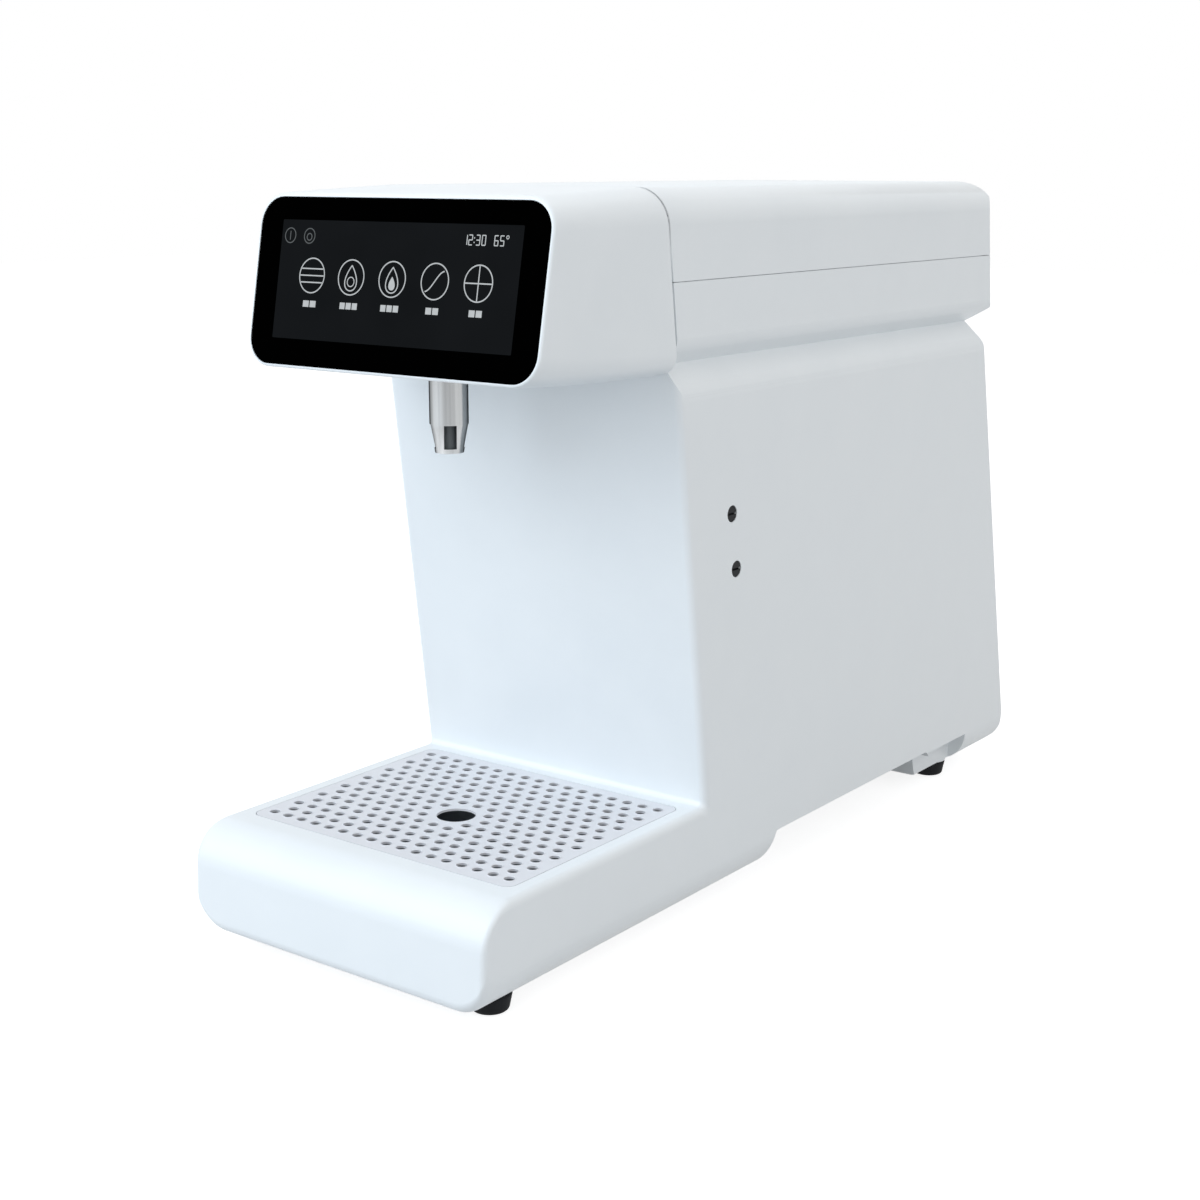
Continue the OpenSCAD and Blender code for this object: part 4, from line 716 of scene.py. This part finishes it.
# %% Screen light
def lit(name, light, dark, strength, spread):
    """A light-emitting layer: its brightness drifts a little, as a backlight's does."""
    material, tree, principled, where = start_material(
        name, Base_Color=colour("#050506"), Roughness=0.2, Specular_IOR_Level=0.0, Emission_Strength=strength)
    drift = add(tree, "ShaderNodeTexNoise", {"Vector": where, "Scale": per_mm(spread), "Detail": 2.0})
    blend(tree, drift.outputs["Fac"], dark, light, principled.inputs["Emission Color"])
    return material


panel_light = lit("screen_backlight_dark", "#17191B", "#0E1011", 1.0, 40)
line_light = lit("screen_pixels_white", "#C9CED0", "#B0B5B8", 1.0, 3)
faint_light = lit("screen_pixels_dimmed", "#6A6E70", "#54585A", 1.0, 3)
print("screen materials", panel_light.name, line_light.name)

# %% [markdown]
# Each sign is drawn in the glass's own plane, in millimetres from the middle of its lower edge, and one matrix
# carries it onto the leaning face. A line is a strip along its points, as wide as the stroke.

# %% Drawing on the glass
PANEL_AT, LINES_AT = (0.01, 0.04), (0.05, 0.08)  # lower and upper side of each layer over the glass
FACE = Matrix.Translation((0, GLASS_Y * MM, GLASS_Z * MM)) @ Matrix.Rotation(math.pi / 2 - GLASS_LEAN, 4, "X")


def strip(form, points, width, loop=False):
    """A flat line of this width along the points."""
    count = len(points)
    sides = []
    for i, p in enumerate(points):
        before = points[i - 1] if i or loop else p
        after = points[(i + 1) % count] if i < count - 1 or loop else p
        way = Vector((after[0] - before[0], after[1] - before[1])).normalized()
        out = Vector((-way.y, way.x)) * width / 2
        sides.append([form.verts.new((p[0] + s * out.x, p[1] + s * out.y, 0)) for s in (1, -1)])
    for i in range(count if loop else count - 1):
        (a, b), (c, d) = sides[i], sides[(i + 1) % count]
        form.faces.new((a, b, d, c))


def patch(form, points):
    """A flat face within the points."""
    form.faces.new([form.verts.new((x, y, 0)) for x, y in points])


def bar(form, x, y, w, h):
    """A flat rectangle about its middle."""
    patch(form, [(x - w / 2, y - h / 2), (x + w / 2, y - h / 2), (x + w / 2, y + h / 2), (x - w / 2, y + h / 2)])


def circle(x, y, r, steps=48):
    return [on_circle(x, y, r, 360 * k / steps) for k in range(steps)]


def on_glass(name, form, layer, material):
    """Extrudes a flat drawing between a layer's two sides over the glass and lays it on the face."""
    low, high = layer
    bmesh.ops.translate(form, vec=(0, 0, low), verts=form.verts)
    made = bmesh.ops.extrude_face_region(form, geom=form.faces[:], use_keep_orig=True)
    for v in made["geom"]:
        if isinstance(v, bmesh.types.BMVert):
            v.co.z = high
    bmesh.ops.recalc_face_normals(form, faces=form.faces)
    bmesh.ops.transform(form, matrix=FACE @ Matrix.Scale(MM, 4), verts=form.verts)
    return new_piece(name, as_mesh(form, name), material, "cabinet")


form = bmesh.new()
patch(form, ring(78.5, 13.2, 72.7, 0.6, 0.6, arc=3, flat=2))
panel = on_glass("screen_panel", form, PANEL_AT, panel_light)
print("panel", [round(v / MM, 1) for v in panel.dimensions])

# %% [markdown]
# Five round keys carry plain signs: lines, two drops, a wave and a cross. Bars stand below them, where words would be.

# %% Keys and their signs
KEY_X = [-54.6, -27.6, -0.2, 27.3, 54.4]
KEY_Y, KEY_R, STROKE = 45.2, 8.6, 0.62


def drop(x, y, w, h):
    """A drop's outline: a round belly that runs up into a point."""
    steps = 28
    turns = [2 * math.pi * k / steps for k in range(steps)]
    return [(x + w * math.sin(a) * math.sin(a / 2), y + h * math.cos(a)) for a in turns]


form = bmesh.new()
for x in KEY_X:
    strip(form, circle(x, KEY_Y, KEY_R), STROKE, loop=True)
for level in (-3.4, 0, 3.4):
    reach = math.sqrt((KEY_R - 0.5) ** 2 - level ** 2)
    strip(form, [(KEY_X[0] - reach, KEY_Y + level), (KEY_X[0] + reach, KEY_Y + level)], STROKE)
for x in KEY_X[1:3]:
    strip(form, drop(x, KEY_Y - 0.4, 5.2, 6.2), STROKE, loop=True)
strip(form, circle(KEY_X[1], KEY_Y - 2.2, 2.3, 24), STROKE * 0.8, loop=True)
patch(form, drop(KEY_X[2], KEY_Y - 2.0, 2.7, 3.3))
wave = [(-6.6 + 13.2 * k / 24, 4.3 * math.sin(math.pi * (k / 12 - 1) / 2)) for k in range(25)]
strip(form, [(KEY_X[3] + u * 0.86 - 0.1, KEY_Y + v + u * 0.1) for u, v in wave], STROKE)
reach = KEY_R - 0.4
strip(form, [(KEY_X[4] - reach, KEY_Y), (KEY_X[4] + reach, KEY_Y)], STROKE)
strip(form, [(KEY_X[4], KEY_Y - reach), (KEY_X[4], KEY_Y + reach)], STROKE)
on_glass("screen_keys", form, LINES_AT, line_light)

form = bmesh.new()
LABELS = [(9.5, 2), (12.4, 3), (12.4, 3), (8.7, 2), (8.7, 2)]  # width and number of bars
LABEL_Y, LABEL_H, LABEL_GAP = 31.1, 3.2, 0.7
for x, (w, parts) in zip(KEY_X, LABELS):
    for k in range(parts):
        bar(form, x - w / 2 + w / parts * (k + 0.5), LABEL_Y, w / parts - LABEL_GAP, LABEL_H)
on_glass("screen_label_bars", form, LINES_AT, line_light)
print("keys", len(KEY_X))

# %% [markdown]
# The two numbers have up to seven strokes a digit, as on a clock. Two dim round signs fill the other corner.

# %% Numbers and small signs
SEGMENTS = {"0": "abcdef", "1": "bc", "2": "abged", "3": "abgcd", "5": "afgcd", "6": "afgecd"}


def digit(form, sign, x, y, w=2.1, h=4.6, stroke=0.5):
    """One number, from its lower left corner."""
    ends = {"a": ((0, h), (w, h)), "b": ((w, h), (w, h / 2)), "c": ((w, h / 2), (w, 0)), "d": ((0, 0), (w, 0)),
            "e": ((0, 0), (0, h / 2)), "f": ((0, h / 2), (0, h)), "g": ((0, h / 2), (w, h / 2))}
    for name in SEGMENTS[sign]:
        strip(form, [(x + u, y + v) for u, v in ends[name]], stroke)


NUMBERS = zip("123065", (42.6, 45.8, 50.4, 53.9, 61.5, 65.0))
NUMBERS_Y = 63
COLON_X, COLON_Y = 49.1, (64.2, 66.3)
form = bmesh.new()
for sign, x in NUMBERS:
    digit(form, sign, x, NUMBERS_Y)
for y in COLON_Y:
    bar(form, COLON_X, y, 0.6, 0.6)
strip(form, circle(69.2, 67.0, 0.75, 16), 0.4, loop=True)
on_glass("screen_numbers", form, LINES_AT, line_light)

form = bmesh.new()
for x in (-72.5, -59.0):
    strip(form, circle(x, 64.8, 3.7, 32), 0.5, loop=True)
strip(form, [(-72.5, 62.6), (-72.5, 67.0)], 0.5)
strip(form, circle(-59.0, 64.3, 1.7, 20), 0.5, loop=True)
on_glass("screen_small_signs", form, LINES_AT, faint_light)
print("numbers and signs on the glass")

# %% [markdown]
# ## Rolled lips round the drain holes
# The grid is punched from steel sheet, and the punch leaves a small rolled lip round each hole, which catches light.
# There are more than two hundred, in staggered rows, so Geometry Nodes set them out: points get their row and column
# from their index, every second row is shifted by half a pitch, and a ring goes on each. Each ring has few faces.

# %% A tree for staggered rings
def new_tree(name, sizes):
    """A Geometry Nodes tree with named sizes, and its group input's outputs."""
    tree = bpy.data.node_groups.new(name, "GeometryNodeTree")
    tree.interface.new_socket("Geometry", in_out="INPUT", socket_type="NodeSocketGeometry")
    for label, value in sizes.items():
        kind = "NodeSocketInt" if isinstance(value, int) else "NodeSocketFloat"
        tree.interface.new_socket(label, in_out="INPUT", socket_type=kind).default_value = value
    tree.interface.new_socket("Geometry", in_out="OUTPUT", socket_type="NodeSocketGeometry")
    return tree, add(tree, "NodeGroupInput").outputs


def grow(name, tree, sizes, mesh=None):
    """Runs a tree on an object and gives back the plain mesh that it makes."""
    obj = in_scene(name, mesh or bpy.data.meshes.new(name))
    modifier = obj.modifiers.new("tree", "NODES")
    modifier.node_group = tree
    for item in tree.interface.items_tree:
        if item.in_out == "INPUT" and item.name in sizes:
            modifier[item.identifier] = sizes[item.name]
    return plain_mesh(obj)


HOLE_STEPS, LIP_STEPS = 14, 4


def staggered_rings(sizes, material):
    """Rings on staggered points, without the spare ones at the ends of rows and those at the drain."""
    tree, size = new_tree("drain_lips", sizes)

    def calc(kind, a, b):
        return add(tree, "ShaderNodeMath", {0: a, 1: b}, operation=kind).outputs[0]

    index = add(tree, "GeometryNodeInputIndex").outputs["Index"]
    row = calc("FLOOR", calc("DIVIDE", calc("ADD", index, 0.5), size["Holes"]), 0.0)
    column = calc("SUBTRACT", index, calc("MULTIPLY", row, size["Holes"]))
    odd = calc("MODULO", row, 2.0)
    half_row = calc("MULTIPLY", calc("SUBTRACT", size["Holes"], 1.0), 0.5)
    half_rows = calc("MULTIPLY", calc("SUBTRACT", size["Rows"], 1.0), 0.5)
    shift = calc("ADD", calc("SUBTRACT", column, half_row), calc("MULTIPLY", odd, 0.5))
    x = calc("MULTIPLY", shift, size["Hole pitch"])
    y = calc("MULTIPLY", calc("SUBTRACT", row, half_rows), size["Row pitch"])
    place = add(tree, "ShaderNodeCombineXYZ", {
        "X": x, "Y": calc("ADD", y, size["Middle"]), "Z": size["Height"]}).outputs[0]
    points = add(tree, "GeometryNodePoints", {
        "Count": calc("MULTIPLY", size["Rows"], size["Holes"]), "Position": place}).outputs[0]
    spare = calc("MULTIPLY", odd, calc("GREATER_THAN", column, calc("SUBTRACT", size["Holes"], 1.5)))
    gap_y = calc("SUBTRACT", calc("ADD", y, size["Middle"]), size["Drain"])
    away = calc("SQRT", calc("ADD", calc("MULTIPLY", x, x), calc("MULTIPLY", gap_y, gap_y)), 0.0)
    near = calc("LESS_THAN", away, size["Drain room"])
    kept = add(tree, "GeometryNodeDeleteGeometry", {
        "Geometry": points, "Selection": calc("MAXIMUM", spare, near)}, domain="POINT").outputs[0]
    round_hole = add(tree, "GeometryNodeCurvePrimitiveCircle", {
        "Resolution": HOLE_STEPS, "Radius": size["Hole radius"]})
    section = add(tree, "GeometryNodeCurvePrimitiveCircle", {
        "Resolution": LIP_STEPS, "Radius": size["Lip"]})
    lip = add(tree, "GeometryNodeCurveToMesh", {
        "Curve": round_hole.outputs[0], "Profile Curve": section.outputs[0]}).outputs[0]
    rings = add(tree, "GeometryNodeInstanceOnPoints", {"Points": kept, "Instance": lip}).outputs[0]
    real = add(tree, "GeometryNodeRealizeInstances", {"Geometry": rings}).outputs[0]
    dressed = add(tree, "GeometryNodeSetMaterial", {"Geometry": real, "Material": material}).outputs[0]
    add(tree, "NodeGroupOutput", {"Geometry": dressed})
    return tree


GRID_LOW, GRID_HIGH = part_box("drip_grid")
LIPS = {"Rows": 15, "Holes": 17, "Hole pitch": 10.16 * MM, "Row pitch": 8.92 * MM, "Hole radius": 3.05 * MM,
        "Lip": 0.28 * MM, "Middle": (GRID_LOW.y + GRID_HIGH.y) / 2, "Height": GRID_HIGH.z, "Drain": -182.5 * MM,
        "Drain room": 14.3 * MM}
lips_tree = staggered_rings(LIPS, powder_white)
lips = grow("drain_lips", lips_tree, LIPS)
smooth(lips, 60)
new_piece("drain_lips", lips, powder_white, "grid")
print("lips", len(lips.polygons) // (HOLE_STEPS * LIP_STEPS))

# %% [markdown]
# ## Screw heads
# The covers and the feet are held by plated pan-head screws with a hexagon socket. One head is modelled as rings of
# a turned profile round a six-sided socket. Geometry Nodes set it on points at the solid screws' places, turned to
# each screw's own axis, which the points carry as an attribute.

# %% One screw head
def screw_head(r, h, socket):
    """A domed head on +Z, standing on z = 0, with a hexagon socket, in millimetres."""
    steps = 24

    def turned(radius, z, six=False):
        points = []
        for k in range(steps):
            a = 2 * math.pi * k / steps
            reach = radius
            if six:
                reach = radius * math.cos(math.pi / 6) / math.cos((a % (math.pi / 3)) - math.pi / 6)
            points.append((reach * math.cos(a), reach * math.sin(a), z))
        return points

    outline = [turned(r * 0.45, -1.5), turned(r * 0.45, 0.02), turned(r * 0.96, 0.02), turned(r, h * 0.12),
               turned(r * 0.97, h * 0.5), turned(r * 0.84, h * 0.8), turned(r * 0.66, h * 0.97),
               turned(socket, h, True), turned(socket, h * 0.35, True)]
    return as_mesh(loft(outline, True), "screw_head")


print("faces of a screw head", len(screw_head(3, 2, 1.4).polygons))

# %% [markdown]
# A screw's place is the middle of the rim on its outer end. Screws of one kind are separate solids of one node.

# %% Heads on the screws
def heads_on_points(template, material):
    """A tree that sets the template on each point, turned to the point's axis."""
    tree, size = new_tree("screw_heads", {})
    axis = add(tree, "GeometryNodeInputNamedAttribute", {"Name": "axis"}, data_type="FLOAT_VECTOR").outputs[0]
    turn = add(tree, "FunctionNodeAlignRotationToVector", {"Vector": axis}, axis="Z").outputs[0]
    head = add(tree, "GeometryNodeObjectInfo", {"Object": template}).outputs["Geometry"]
    heads = add(tree, "GeometryNodeInstanceOnPoints", {
        "Points": size["Geometry"], "Instance": head, "Rotation": turn}).outputs[0]
    real = add(tree, "GeometryNodeRealizeInstances", {"Geometry": heads}).outputs[0]
    dressed = add(tree, "GeometryNodeSetMaterial", {"Geometry": real, "Material": material}).outputs[0]
    add(tree, "NodeGroupOutput", {"Geometry": dressed})
    return tree


def loose_parts(node):
    """The solid screws of one node, each as its list of points, in the same order on each run."""
    form = merged_form(node)
    left, parts = dict.fromkeys(form.verts), []
    while left:
        todo, part = [left.popitem()[0]], []
        while todo:
            v = todo.pop()
            part.append(v.co.copy())
            for edge in v.link_edges:
                other = edge.other_vert(v)
                if other in left:
                    del left[other]
                    todo.append(other)
        parts.append(part)
    form.free()
    return parts


def screw_pieces(node, axis, r, h, socket):
    """Sets a detailed head on each screw of a node."""
    axis = Vector(axis).normalized()
    mesh = bpy.data.meshes.new(node + "_points")
    places = []
    for part in loose_parts(node):
        top = max(p.dot(axis) for p in part)
        rim = [p for p in part if p.dot(axis) > top - 0.01 * MM]
        middle = sum(rim, Vector()) / len(rim)
        places.append(middle - axis * h * MM)
    mesh.from_pydata(places, [], [])
    store = mesh.attributes.new("axis", "FLOAT_VECTOR", "POINT")
    for item in store.data:
        item.vector = axis
    template = in_scene("head_template", screw_head(r, h, socket))
    done = grow(node + "_heads", heads_on_points(template, screw_zinc), {}, mesh)
    bpy.data.objects.remove(template)
    smooth(done, 40)
    new_piece(node + "_heads", done, screw_zinc, "cabinet", node)
    return len(places)


REAR_LEAN = math.radians(11.83)
count = screw_pieces("rear_screws", (0, math.cos(REAR_LEAN), math.sin(REAR_LEAN)), 3, 2, 1.4)
count += screw_pieces("bottom_screws", (0, 0, -1), 3, 2, 1.4)
count += screw_pieces("foot_screws", (0, 0, -1), 4.4, 3, 2.0)
print("screw heads", count)

# %% [markdown]
# ## Camera
# The camera stands to the right of the machine's front, a little above its head, as far off as the picture's
# perspective asks. Its place comes from matching the edges of the housing.

# %% Camera
CAMERA_AT = Vector((0.6340, -0.8994, 0.4042))
CAMERA_TURN = math.radians(36.90)
CAMERA_DOWN = math.radians(13.05)
camera = bpy.data.objects.new("camera", bpy.data.cameras.new("camera"))
bpy.context.scene.collection.objects.link(camera)
camera.location = CAMERA_AT
camera.rotation_euler = (math.pi / 2 - CAMERA_DOWN, 0, CAMERA_TURN)
camera.data.lens = 56.66
camera.data.sensor_width = 36
bpy.context.scene.camera = camera
print("camera", [round(v, 3) for v in camera.location])

# %% [markdown]
# ## Floor and light
# A product picture on white: a pale floor that keeps the machine's shadow, a wide soft lamp from the front left
# and weaker ones from the right and above. The sky is white to the camera and to reflections, and weaker as a lamp.
# The floor glows a little for the camera, so that it runs into the white sky without a horizon.

# %% Floor and light
def seen_directly(tree):
    """1 for rays that show or mirror a surface, 0 for rays that only carry light on."""
    path = add(tree, "ShaderNodeLightPath")
    seen = path.outputs["Is Camera Ray"]
    for kind in ("Is Glossy Ray", "Is Transmission Ray"):
        seen = add(tree, "ShaderNodeMath", {0: seen, 1: path.outputs[kind]}, operation="MAXIMUM").outputs[0]
    return seen


def white_sky(ambient):
    """White where it is seen, and as strong as ambient where it only lights."""
    world = bpy.data.worlds.new("studio")
    world.use_nodes = True
    tree = world.node_tree
    tree.nodes.clear()
    seen = seen_directly(tree)
    strength = add(tree, "ShaderNodeMapRange", {"Value": seen, "To Min": ambient, "To Max": 1.0})
    sky = add(tree, "ShaderNodeBackground", {"Color": (1, 1, 1, 1), "Strength": strength.outputs["Result"]})
    add(tree, "ShaderNodeOutputWorld", {"Surface": sky.outputs["Background"]})
    bpy.context.scene.world = world


def soft_lamp(name, place, size, power, tint):
    """A square lamp that looks at the machine's middle."""
    lamp = bpy.data.lights.new(name, "AREA")
    lamp.size = size
    lamp.energy = power
    lamp.color = colour(tint)[:3]
    obj = bpy.data.objects.new(name, lamp)
    bpy.context.scene.collection.objects.link(obj)
    obj.location = place
    target = (CAD_LOW + CAD_HIGH) / 2
    obj.rotation_euler = (target - obj.location).to_track_quat("-Z", "Y").to_euler()


def pale_floor(half):
    """A square floor: grey paint where it only lights, and a pale glow where it is seen."""
    mesh = bpy.data.meshes.new("floor")
    corners = [(-half, -half, 0), (half, -half, 0), (half, half, 0), (-half, half, 0)]
    mesh.from_pydata(corners, [], [(0, 1, 2, 3)])
    floor = bpy.data.objects.new("floor", mesh)
    bpy.context.scene.collection.objects.link(floor)
    material = bpy.data.materials.new("studio_floor")
    material.use_nodes = True
    tree = material.node_tree
    tree.nodes.clear()
    paint = add(tree, "ShaderNodeBsdfDiffuse", {"Color": colour("#B9BBBD")})
    pale = add(tree, "ShaderNodeBsdfDiffuse", {"Color": (0.5, 0.5, 0.5, 1)})
    glow = add(tree, "ShaderNodeEmission", {"Color": (1, 1, 1, 1), "Strength": 0.82})
    shown = add(tree, "ShaderNodeAddShader", {0: pale.outputs[0], 1: glow.outputs[0]})
    seen = seen_directly(tree)
    mixed = add(tree, "ShaderNodeMixShader", {0: seen, 1: paint.outputs[0], 2: shown.outputs[0]})
    add(tree, "ShaderNodeOutputMaterial", {"Surface": mixed.outputs[0]})
    mesh.materials.append(material)


white_sky(ambient=0.6)
soft_lamp("key", Vector((-0.9, -1.9, 1.3)), 2.2, 39, "#E6F3FF")
soft_lamp("fill", Vector((1.9, -0.4, 1.0)), 1.4, 7, "#FFFFFF")
soft_lamp("top", Vector((0.3, 0.6, 2.2)), 1.6, 6, "#FFFFFF")
pale_floor(6.0)
bpy.context.scene.view_settings.view_transform = "Standard"
print("lamps", len(bpy.data.lights))
